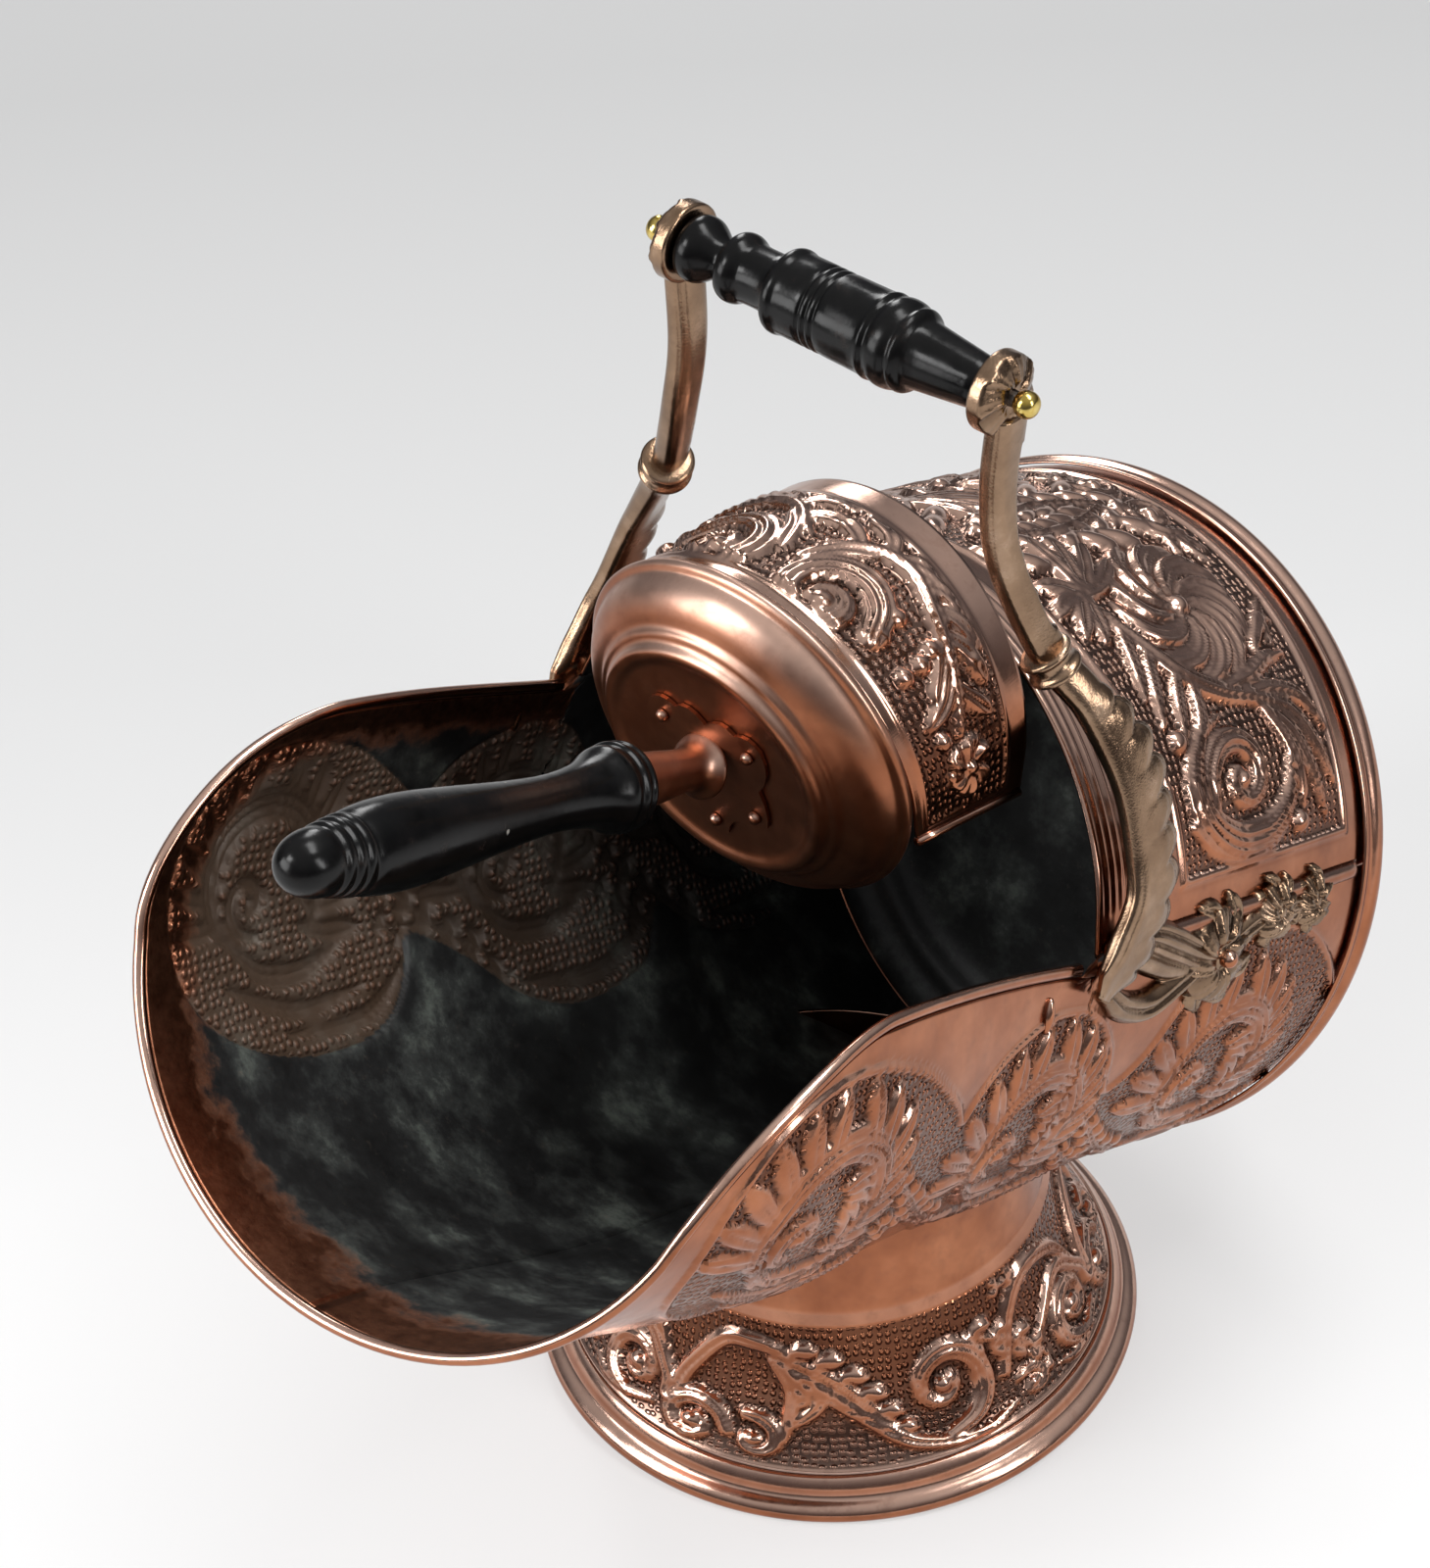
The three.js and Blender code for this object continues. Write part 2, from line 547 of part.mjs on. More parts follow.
const collarAt = armCourse.getPointAt(collarShare);
const collarTurn = new THREE.Quaternion().setFromUnitVectors(
  new THREE.Vector3(0, 1, 0), armCourse.getTangentAt(collarShare));
const collar = revolve([
  [0, -6], [collarRadius - 2.2, -6], [collarRadius - 0.2, -4.8], [collarRadius - 0.4, -3.2],
  [collarRadius - 1.8, -2.4], [collarRadius - 1.6, 1.6], [collarRadius, 2.6],
  [collarRadius, 4.4], [collarRadius - 2.4, 5.6], [0, 5.6],
], 12).applyQuaternion(collarTurn).translate(...collarAt);

// A floret: a low boss with lobed petals, its base sunk below the skin and trimmed later.
function floret(radius, height, petals, station, angle) {
  const rise = eased([0, height], [0.3, height], [0.55, height * 0.86], [1, height * 0.3]);
  const depth = radius * radius / backRadius + 1;
  const ring = (t, a) => {
    const turn = a * 2 * Math.PI;
    const petal = 1 + 0.07 * Math.cos(petals * turn) * t;
    const share = Math.min(t / 0.75, 1);
    const level = t < 0.9 ? rise(share) : -depth;
    return new THREE.Vector3(radius * petal * share * Math.cos(turn), level,
      radius * petal * share * Math.sin(turn));
  };
  const middle = (t) => new THREE.Vector3(0, t < 0.5 ? height : -depth, 0);
  const boss = loft(ring, middle, 2 * petals, 4);
  const outwards = onBarrel(0, angle, 1).normalize();
  const turn = new THREE.Quaternion().setFromUnitVectors(new THREE.Vector3(0, 1, 0), outwards);
  return boss.applyQuaternion(turn).translate(
    ...onBarrel(station, angle, skinRadius(station, angle) + seat));
}
const floretAngle = 97.5 * degrees;
const mainFloret = floret(floretRadius, floretHeight, 8, floretStation, floretAngle);
const middleFloret = floret(smallFloretRadius + 1, 9.5, 6, floretStation - 36, 102 * degrees);
const backFloret = floret(smallFloretRadius, 8, 6,
  floretStation - 36 - 2 * smallFloretRadius - 6, 101.5 * degrees);

// The stem that carries the spray leaves the arm behind the leaf and spreads on the barrel.
const stemStart = armCourse.getPointAt(0.8).applyMatrix4(toBarrel);
const stemLift = seamBeadHeight + 1; // the stem's middle clears the seam's strip
const stemMiddleStation = (armFootStation + floretStation) / 2 + 6;
const stemCourse = new THREE.CatmullRomCurve3([stemStart,
  onBarrel(stemMiddleStation + 12, 105 * degrees,
    skinRadius(stemMiddleStation, 105 * degrees) + 7.4),
  onBarrel(stemMiddleStation - 8, 101 * degrees,
    skinRadius(stemMiddleStation, 101 * degrees) + stemLift),
  onBarrel(floretStation, floretAngle, skinRadius(floretStation, floretAngle) + stemLift - 0.6),
  onBarrel(floretStation - 38, 102 * degrees,
    skinRadius(floretStation, 102 * degrees) + stemLift - 0.6),
  onBarrel(floretStation - 60, 101.5 * degrees,
    skinRadius(floretStation, 101.5 * degrees) + stemLift - 1.2)]);
const stemHalfThickness = 3.4;
const stemHalfWidth = eased([0, 4], [0.2, 8], [0.45, 9], [0.7, 7], [1, 4]);
const stem = bar(stemCourse, (t, angle) =>
  [stemHalfWidth(t) * Math.cos(angle), stemHalfThickness * Math.sin(angle)], 8, 10);

const spray = [stem, mainFloret, middleFloret, backFloret].map((piece) =>
  piece.applyMatrix4(barrel.matrix));
const rivetAt = onBarrel(floretStation, floretAngle, 1).setY(0).normalize();
const rivetFoot = skinRadius(floretStation, floretAngle) + seat;
const onRivet = (geometry) => geometry
  .applyQuaternion(new THREE.Quaternion().setFromUnitVectors(new THREE.Vector3(0, 1, 0), rivetAt))
  .translate(...rivetAt.clone().multiplyScalar(rivetFoot).setY(-floretStation))
  .applyMatrix4(barrel.matrix);
const shankRadius = 2;
const rivetHole = onRivet(new THREE.CylinderGeometry(
  shankRadius + seat, shankRadius + seat, 2 * floretRadius, 12));
const rivet = onRivet(revolve([
  [0, seat], [shankRadius, seat], [shankRadius, floretHeight + seat],
  [rivetHeadRadius, floretHeight + seat], [rivetHeadRadius, floretHeight + 1.6],
  [rivetHeadRadius - 1, floretHeight + 2.3], [0, floretHeight + 2.5]], 16));
const seamInRoom = seamStrip(seat).applyMatrix4(barrel.matrix);
const rightArm = cut(join(armShaft, collar, drum, ...spray), coreInRoom, seamInRoom, rivetHole,
  alongX(new THREE.CylinderGeometry(rodRadius + seat, rodRadius + seat, 4 * drumThickness, 12))
    .translate(drumMiddle, gripY, gripZ));
add(scuttle, 'arm_right', rightArm, bronze);
add(scuttle, 'arm_left', mirrorX(rightArm), bronze);
add(scuttle, 'arm_rivet_right', rivet, copper);
add(scuttle, 'arm_rivet_left', mirrorX(rivet), copper);

// ---------------------------------------------------------------- grip, rod and ball nuts
const nutFace = drumInner + drumThickness + seat;
const rodHalf = nutFace + 3;
const onGripAxis = (geometry, x = 0) => alongX(geometry).translate(x, gripY, gripZ);
add(scuttle, 'grip_rod', onGripAxis(
  closed(new THREE.CylinderGeometry(rodRadius, rodRadius, 2 * rodHalf, 12))), steel);
const nutBore = 2.9;
const ballNut = (() => {
  const from = -Math.sqrt(ballRadius ** 2 - (rodRadius + seat + 0.4) ** 2);
  const ball = closed(new THREE.SphereGeometry(ballRadius, 12, 8));
  const size = 4 * ballRadius;
  const face = closed(new THREE.BoxGeometry(size, size, size)).translate(0, from - size / 2, 0);
  const bore = closed(new THREE.CylinderGeometry(rodRadius + seat, rodRadius + seat,
    2 * (nutBore + 0.8), 10)).translate(0, from, 0);
  return cut(ball, face, bore).translate(0, -from, 0);
})();
const rightNut = onGripAxis(ballNut, nutFace);
add(scuttle, 'ball_nut_right', rightNut, brass);
add(scuttle, 'ball_nut_left', mirrorX(rightNut), brass);

// The grip is not symmetric: bell, ring and neck at the left, a long taper at the right.
const gripBore = rodRadius + seat;
const gripOutline = [
  [gripBore, 0], [11.6, 0], [12.8, 3], [12.6, 7], [9.2, 12], [6.9, 15.6], [7.2, 18.4],
  [11.2, 19.4], [13.4, 22], [13.4, 26], [11.4, 28.6], [11.2, 42], [13.4, 43.2],
  [16.4, 45.6], [16.4, 48.6], [15.6, 50], [15.7, 61], [15, 62], [15.7, 63], [15, 65.4],
  [15.7, 66.4], [15, 68.8], [15.7, 69.8], [15.8, 88], [16.8, 90], [15.6, 92], [16.9, 95],
  [16.6, 100], [15.2, 102.4], [16, 104], [14, 106.4], [12.8, 107.6], [9.3, gripLength],
  [gripBore, gripLength], [gripBore, 0]];
add(scuttle, 'grip', onGripAxis(revolve(gripOutline, 16), -gripLength / 2), ebonised);

// ---------------------------------------------------------------- shovel
// Its own frame: the pan opens towards +Y, the handle leaves the disc towards -Y.
const shovel = new THREE.Group();
shovel.position.copy(onBarrel(hoodLength, Math.PI, backRadius).applyMatrix4(barrel.matrix))
  .add(shovelRest);
shovel.rotation.set(shovelPitch, 0, -shovelYaw, 'ZXY');
scuttle.add(shovel);

// End disc: a beaded rim, a groove, a round shoulder, fine steps and a flat face in front.
const forward = -discForward;
const discBackFace = 3.2; // the beaded rim's back, which the pan's sheet meets
const discFront = [
  [discRadius - 2.6, discBackFace], [discRadius - 0.4, 1.8], [discRadius, -0.4],
  [discRadius - 1.6, -2.4], [discRadius - 3.4, -3], [discRadius - 4.4, -7],
  [discRadius - 8.4, -12], [discRadius - 14, -15], [discRadius - 17.6, -16.2],
  [discRadius - 19.4, -18.6], [discFlatRadius + 3, forward + 4], [discFlatRadius + 1.8, forward + 1.8],
  [discFlatRadius - 1, forward], [discFlatRadius - 3.6, forward + 0.6],
  [discFlatRadius - 5.4, forward + 2], [0, forward + 2]];
const discBack = [
  [discRadius - 5, discBackFace], [discRadius - 5.4, -6], [discRadius - 9.4, -10.8],
  [discRadius - 15, -13.4], [discRadius - 19.8, -15.2], [discFlatRadius + 1.4, forward + 6],
  [discFlatRadius - 3, forward + 2.4], [discFlatRadius - 6, forward + 2 + copperSheet],
  [0, forward + 2 + copperSheet]];
add(shovel, 'shovel_end_disc',
  revolve([...[...discFront].reverse(), ...discBack], 24), copper);

// Pan: an arched sheet that slopes down from the disc, its side walls running on below the axis.
const pan = new THREE.Group();
pan.position.z = -panSink;
pan.rotation.set(-panTilt, 0, -panTurn, 'ZXY');
pan.updateMatrix();
shovel.add(pan);
const panBackRadius = discRadius - panLap;
const panRadiusAt = (share) => panBackRadius + panFlare * share;
// A point of the pan: share 0..1 from the disc's back to the mouth, at (x, z) in its section.
function onPan(share, x, z) {
  const [, xToY, , , , yToY, , , , zToY] = pan.matrix.elements;
  const start = (discBackFace + seat - xToY * x - zToY * z) / yToY;
  return new THREE.Vector3(x, THREE.MathUtils.lerp(start, panLength, share), z);
}
const panSheet = sheet((t, w, side) => {
  const radius = panRadiusAt(t) - (side ? copperSheet : 0);
  const arc = Math.PI * radius;
  const drop = panSideDrop - 2 * panEdgeBead - seat;
  const along = w * (arc + 2 * drop) - drop;
  if (along < 0) return onPan(t, radius, along);
  if (along > arc) return onPan(t, -radius, arc - along);
  return onPan(t, radius * Math.cos(along / radius), radius * Math.sin(along / radius));
}, 24, 3);
add(pan, 'shovel_pan', panSheet, copper);

// A bead closes each lower edge of the pan.
const panEdge = (side) => {
  const at = (t) => onPan(t, side * (panRadiusAt(t) - copperSheet / 2), panEdgeBead - panSideDrop);
  return bar(new THREE.LineCurve3(at(0).setY(at(0).y + seat), at(1)), (t, angle) =>
    [panEdgeBead * Math.cos(angle), panEdgeBead * Math.sin(angle)], 8, 2);
};
add(pan, 'shovel_edge_bead_right', panEdge(1), copper);
add(pan, 'shovel_edge_bead_left', panEdge(-1), copper);

// Cartouche plate with a double-curved top edge, riveted to the flat of the disc.
const plateFace = forward + 2 - seat;
const plateShape = new THREE.Shape();
plateShape.moveTo(0, plateTop - 4);
plateShape.quadraticCurveTo(8, plateTop + 4, 14, plateTop - 2);
plateShape.quadraticCurveTo(plateHalfWidth - 6, plateTop + 2, plateHalfWidth - 1, plateTop - 4);
plateShape.quadraticCurveTo(plateHalfWidth + 4, 9, plateHalfWidth - 4, -2);
plateShape.quadraticCurveTo(plateHalfWidth, -12, plateHalfWidth - 2, -20);
plateShape.quadraticCurveTo(plateHalfWidth - 6, -25, 12, -24);
plateShape.quadraticCurveTo(6, -26, 5, -plateBottom + 3);
plateShape.quadraticCurveTo(0, -plateBottom - 3, -5, -plateBottom + 3);
plateShape.quadraticCurveTo(-6, -26, -12, -24);
plateShape.quadraticCurveTo(-plateHalfWidth + 6, -25, -plateHalfWidth + 2, -20);
plateShape.quadraticCurveTo(-plateHalfWidth, -12, -plateHalfWidth + 4, -2);
plateShape.quadraticCurveTo(-plateHalfWidth - 4, 9, -plateHalfWidth + 1, plateTop - 4);
plateShape.quadraticCurveTo(-plateHalfWidth + 6, plateTop + 2, -14, plateTop - 2);
plateShape.quadraticCurveTo(-8, plateTop + 4, 0, plateTop - 4);
const plateBlank = closed(new THREE.ExtrudeGeometry(plateShape, {
  depth: plateThickness, bevelEnabled: false, curveSegments: 4,
})).rotateX(Math.PI / 2).translate(0, plateFace, 0);
const rivetHoles = [[-20, 14.5], [20, 14.5], [-20, -16.5], [20, -16.5], [0, -29]];
const rivetShank = 1.2;
const onPlate = (geometry, [x, z]) => geometry.translate(x, plateFace - plateThickness, z);
const plate = cut(plateBlank, ...rivetHoles.map((place) => onPlate(
  closed(new THREE.CylinderGeometry(rivetShank + seat, rivetShank + seat, 12, 8)), place)));
add(shovel, 'shovel_plate', plate, copper);
const rivetNames = ['upper_left', 'upper_right', 'lower_left', 'lower_right', 'bottom'];
rivetHoles.forEach((place, i) => {
  const head = revolve([
    [0, plateThickness - seat + 0.2], [rivetShank, plateThickness - seat + 0.2], [rivetShank, -seat],
    [smallRivetRadius, -seat], [smallRivetRadius - 0.4, -1.2], [smallRivetRadius - 1.2, -1.9],
    [0, -2.1]], 10);
  add(shovel, `shovel_rivet_${rivetNames[i]}`, onPlate(head, place), copper);
});

// Socket and handle share one axis that rises from the middle of the plate.
const handleFrame = new THREE.Group();
const handleRoot = plateFace - plateThickness - seat;
handleFrame.position.set(0, handleRoot, 0);
handleFrame.rotation.x = -handleRise;
handleFrame.updateMatrix();
shovel.add(handleFrame);
const outAlong = (outline, facets) => // outline: radius, distance out along the handle
  revolve(outline.map(([r, out]) => [r, -out]), facets);
const platePlane = closed(new THREE.BoxGeometry(discRadius, discRadius, discRadius))
  .translate(0, discRadius / 2 + handleRoot, 0)
  .applyMatrix4(handleFrame.matrix.clone().invert());
const socketMouth = socketEndRadius - copperSheet;
const socketBlank = outAlong([
  [0, -14], [socketRootRadius + 4.4, -14], [socketRootRadius + 4.4, 3], [socketRootRadius + 1.4, 6.4],
  [socketRootRadius, 11], [socketEndRadius, socketLength], [socketMouth, socketLength],
  [socketMouth - 0.6, socketLength - 12], [0, socketLength - 12]], 20);
add(handleFrame, 'shovel_socket', cut(socketBlank, platePlane), copper);

const woodStart = socketLength + seat;
const tenonRadius = socketMouth - 0.6 - seat;
const knobRadius = 11;
const knobArc = Array.from({ length: 5 }, (_, i) => {
  const turn = (i / 4) * (Math.PI / 2);
  return [knobRadius * Math.cos(turn), woodLength - knobRadius + knobRadius * Math.sin(turn)];
});
knobArc[4][0] = 0;
const woodOutline = [
  [0, -10], [tenonRadius, -10], [tenonRadius, 0], [15.2, 0], [16.8, 2.4], [15.8, 4.8],
  [17.2, 7.2], [15.8, 9.6], [16.4, 12.4], [14, 18], [11.4, 29], [10.2, 42], [10.8, 58],
  [13, 82], [15.6, 108], [16.8, 126], [16.4, 140], [14.8, 152], [14, 153.4], [14.6, 156],
  [13.6, 158], [14, 160.6], [12.8, 162.6], [13.2, 165.4], [11.8, 167.6], [12, 170.6],
  ...knobArc];
add(handleFrame, 'shovel_handle',
  outAlong(woodOutline.map(([r, out]) => [r, out + woodStart]), 16), ebonised);

// The origin moves to the floor under the middle of the whole object's length.
const extent = new THREE.Box3().setFromObject(scuttle, true);
scuttle.position.y = -(extent.min.y + extent.max.y) / 2;

export default scuttle;
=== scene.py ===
# Embossed copper helmet coal scuttle with its turned grip, cast arms and coal shovel.
# Metres in the part's own frame: +Z up, the mouth opens towards -Y, x = 0 is the plane of symmetry.
import math
import bmesh
import bpy
import numpy as np
from mathutils import Matrix, Vector


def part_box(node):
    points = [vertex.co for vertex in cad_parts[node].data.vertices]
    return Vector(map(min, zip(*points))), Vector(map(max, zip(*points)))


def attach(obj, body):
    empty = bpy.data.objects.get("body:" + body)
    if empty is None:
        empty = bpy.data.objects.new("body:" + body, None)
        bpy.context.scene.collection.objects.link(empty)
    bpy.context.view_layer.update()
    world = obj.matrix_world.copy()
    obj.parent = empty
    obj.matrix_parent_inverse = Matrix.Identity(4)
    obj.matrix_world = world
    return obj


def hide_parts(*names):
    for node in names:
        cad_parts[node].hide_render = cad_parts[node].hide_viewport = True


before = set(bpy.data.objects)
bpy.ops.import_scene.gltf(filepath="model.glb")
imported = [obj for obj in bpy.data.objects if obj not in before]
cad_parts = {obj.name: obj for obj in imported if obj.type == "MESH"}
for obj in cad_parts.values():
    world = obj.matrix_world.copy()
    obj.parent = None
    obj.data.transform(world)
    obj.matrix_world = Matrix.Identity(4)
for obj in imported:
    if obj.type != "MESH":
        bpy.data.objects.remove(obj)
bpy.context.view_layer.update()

MM = 0.001
both_sides = (("right", 1), ("left", -1))

# ---------------------------------------------------------------- camera
# One long lens from the right of the mouth, looking down over the lip and turned a little about
# its own line of sight, as the photograph was taken.
camera_azimuth = math.radians(43.31)
camera_elevation = math.radians(41.95)
camera_roll = math.radians(-3.32)
camera_data = bpy.data.cameras.new("photograph_camera")
camera_data.lens = 112.5
camera_data.sensor_width = 36
camera = bpy.data.objects.new("photograph_camera", camera_data)
bpy.context.scene.collection.objects.link(camera)
level = math.cos(camera_elevation)
back = Vector((math.sin(camera_azimuth) * level, -math.cos(camera_azimuth) * level,
               math.sin(camera_elevation)))
right = Vector((math.cos(camera_azimuth), math.sin(camera_azimuth), 0))
above = back.cross(right)
rolled_right = math.cos(camera_roll) * right + math.sin(camera_roll) * above
rolled_up = math.cos(camera_roll) * above - math.sin(camera_roll) * right
axes = Matrix((rolled_right, rolled_up, back)).transposed()
camera.matrix_world = Matrix.Translation((0.9195, -1.00257, 1.5323)) @ axes.to_4x4()
bpy.context.scene.camera = camera
bpy.context.scene.view_settings.view_transform = "Standard"

# ---------------------------------------------------------------- floor, softboxes and world
# A pale paper sweep that runs from light grey behind the scuttle to near white before it, with
# large softboxes, whose shapes the polished copper shows.


def linear(hex_colour):
    """The linear RGBA of an sRGB hex colour."""
    channels = [int(hex_colour[i:i + 2], 16) / 255 for i in (1, 3, 5)]
    toned = [c / 12.92 if c <= 0.04045 else ((c + 0.055) / 1.055) ** 2.4 for c in channels]
    return (*toned, 1.0)


def put(tree, kind, settings=None, **links):
    """Adds one node: settings are its properties, links its inputs by name or number, as values,
    sockets, or nodes, of which the first output is taken."""
    made = tree.nodes.new("ShaderNode" + kind)
    for name, value in (settings or {}).items():
        setattr(made, name, value)
    for name, value in links.items():
        numbered = name[1:].isdigit()
        socket = made.inputs[int(name[1:]) if numbered else name.replace("_", " ")]
        if isinstance(value, bpy.types.Node):
            value = value.outputs[0]
        if isinstance(value, bpy.types.NodeSocket):
            tree.links.new(value, socket)
        else:
            socket.default_value = value
    return made


def new_material(name):
    """An empty material and its node tree."""
    made = bpy.data.materials.new(name)
    made.use_nodes = True
    made.node_tree.nodes.clear()
    return made, made.node_tree


def in_millimetres(tree):
    """The place on the object in mm, so that a noise's scale is one over its grain in mm."""
    return put(tree, "Mapping", Vector=put(tree, "TexCoord").outputs["Object"],
               Scale=(1000, 1000, 1000))


def painted(tree, name):
    """The value that the mesh carries under that name."""
    return put(tree, "Attribute", {"attribute_name": name}).outputs["Fac"]


def surfaced(made, **inputs):
    """Ends a material with one shader that has those inputs."""
    tree = made.node_tree
    put(tree, "OutputMaterial", Surface=put(tree, "BsdfPrincipled", **inputs))
    return made


def ramp(tree, factor, *stops):
    """A colour ramp through (place, hex colour) stops."""
    made = put(tree, "ValToRGB", Fac=factor)
    while len(made.color_ramp.elements) < len(stops):
        made.color_ramp.elements.new(0.5)
    for element, (place, colour) in zip(made.color_ramp.elements, stops):
        element.position = place
        element.color = linear(colour)
    return made.outputs["Color"]


paper, tree = new_material("pale_paper_sweep")
place = put(tree, "TexCoord").outputs["Object"]
# Painted shade: the paper is painted greyer with the distance from the camera, as the studio light
# falls off along the floor.
away = put(tree, "VectorMath", {"operation": "DOT_PRODUCT"}, i0=place,
           i1=(-math.sin(camera_azimuth), math.cos(camera_azimuth), 0))
share = put(tree, "MapRange", Value=away.outputs["Value"], From_Min=-0.36, From_Max=0.95)
tone = ramp(tree, share, (0.0, "#FFFFFF"), (0.3, "#EFEFEF"), (0.62, "#D6D6D6"), (1.0, "#C2C2C2"))
plain = put(tree, "BsdfDiffuse", Color=tone)
glow = put(tree, "Emission", Color=tone, Strength=1.0)
seen = put(tree, "LightPath")
mirrored_ray = put(tree, "Math", {"operation": "MAXIMUM"}, i0=seen.outputs["Is Glossy Ray"],
                   i1=seen.outputs["Is Transmission Ray"])
looked_at = put(tree, "Math", {"operation": "MAXIMUM"}, i0=seen.outputs["Is Camera Ray"],
                i1=mirrored_ray)
# Half of what the eye sees is the paper's own tone, half is lit and so carries the shadow.
own = put(tree, "Math", {"operation": "MULTIPLY"}, i0=looked_at, i1=0.5)
mixed = put(tree, "MixShader", Fac=own, i1=plain, i2=glow)
put(tree, "OutputMaterial", Surface=mixed)
bm = bmesh.new()
bmesh.ops.create_grid(bm, x_segments=1, y_segments=1, size=6.0)
sweep_mesh = bpy.data.meshes.new("paper_sweep")
bm.to_mesh(sweep_mesh)
bm.free()
sweep_mesh.materials.append(paper)
paper_sweep = bpy.data.objects.new("paper_sweep", sweep_mesh)
bpy.context.scene.collection.objects.link(paper_sweep)


def softbox(name, place, target, width, height, power):
    """A rectangular area lamp of that size in metres, turned towards the target."""
    lamp = bpy.data.lights.new(name, "AREA")
    lamp.shape = "RECTANGLE"
    lamp.size, lamp.size_y, lamp.energy = width, height, power
    made = bpy.data.objects.new(name, lamp)
    bpy.context.scene.collection.objects.link(made)
    aim = (Vector(target) - Vector(place)).to_track_quat("-Z", "Y")
    made.matrix_world = Matrix.Translation(place) @ aim.to_matrix().to_4x4()


middle = (0, 0, 0.25)
softbox("key_softbox", (-0.9, -1.7, 1.9), middle, 0.7, 0.7, 22)
softbox("low_softbox", (-1.2, -1.95, 0.95), middle, 1.2, 0.9, 24)
softbox("right_softbox", (1.9, 0.3, 1.3), middle, 0.35, 1.3, 17)
softbox("top_softbox", (0.2, 0.7, 2.3), middle, 1.5, 0.5, 26)
softbox("back_softbox", (-1.5, 1.5, 1.2), middle, 0.4, 1.2, 12)

world = bpy.data.worlds.new("studio")
world.use_nodes = True
bpy.context.scene.world = world
world.node_tree.nodes.clear()
# The studio is dim near the floor and bright under its ceiling, which gives polished metal its
# dark and light bands.
tree = world.node_tree
direction = put(tree, "TexCoord").outputs["Generated"]
rise = put(tree, "SeparateXYZ", Vector=direction).outputs["Z"]
studio_tone = ramp(tree, rise, (0.0, "#6A6A6E"), (0.3, "#8C8C91"), (0.6, "#CFD1D4"),
                   (1.0, "#FFFFFF"))
put(tree, "OutputWorld", Surface=put(tree, "Background", Color=studio_tone, Strength=0.68))

# ---------------------------------------------------------------- foot base ring
# The rolled copper ring that the foot stands on: a round outer edge, a cove and a raised line,
# spun over a former and lapped under the embossed bell.
foot_low, foot_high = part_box("foot_base_ring")
foot_y = (foot_low.y + foot_high.y) / 2
foot_radius = (foot_high.x - foot_low.x) / 2 / MM
upright = Matrix.Translation((0, foot_y, 0)) @ Matrix.Scale(MM, 4)


def punched_beads(tree, pitch, crown, foot):
    """Domes in rows that pitch mm apart, from the flat sheet's own places: one on a bead's crown,
    nothing between the beads."""
    flat = put(tree, "UVMap", {"uv_map": "flat_mm"})
    cells = put(tree, "TexVoronoi", {"voronoi_dimensions": "2D"}, Vector=flat, Scale=1000 / pitch,
                Randomness=0.42)
    return put(tree, "MapRange", {"interpolation_type": "SMOOTHSTEP"}, Value=cells,
               From_Min=crown, From_Max=foot, To_Min=1.0, To_Max=0.0)


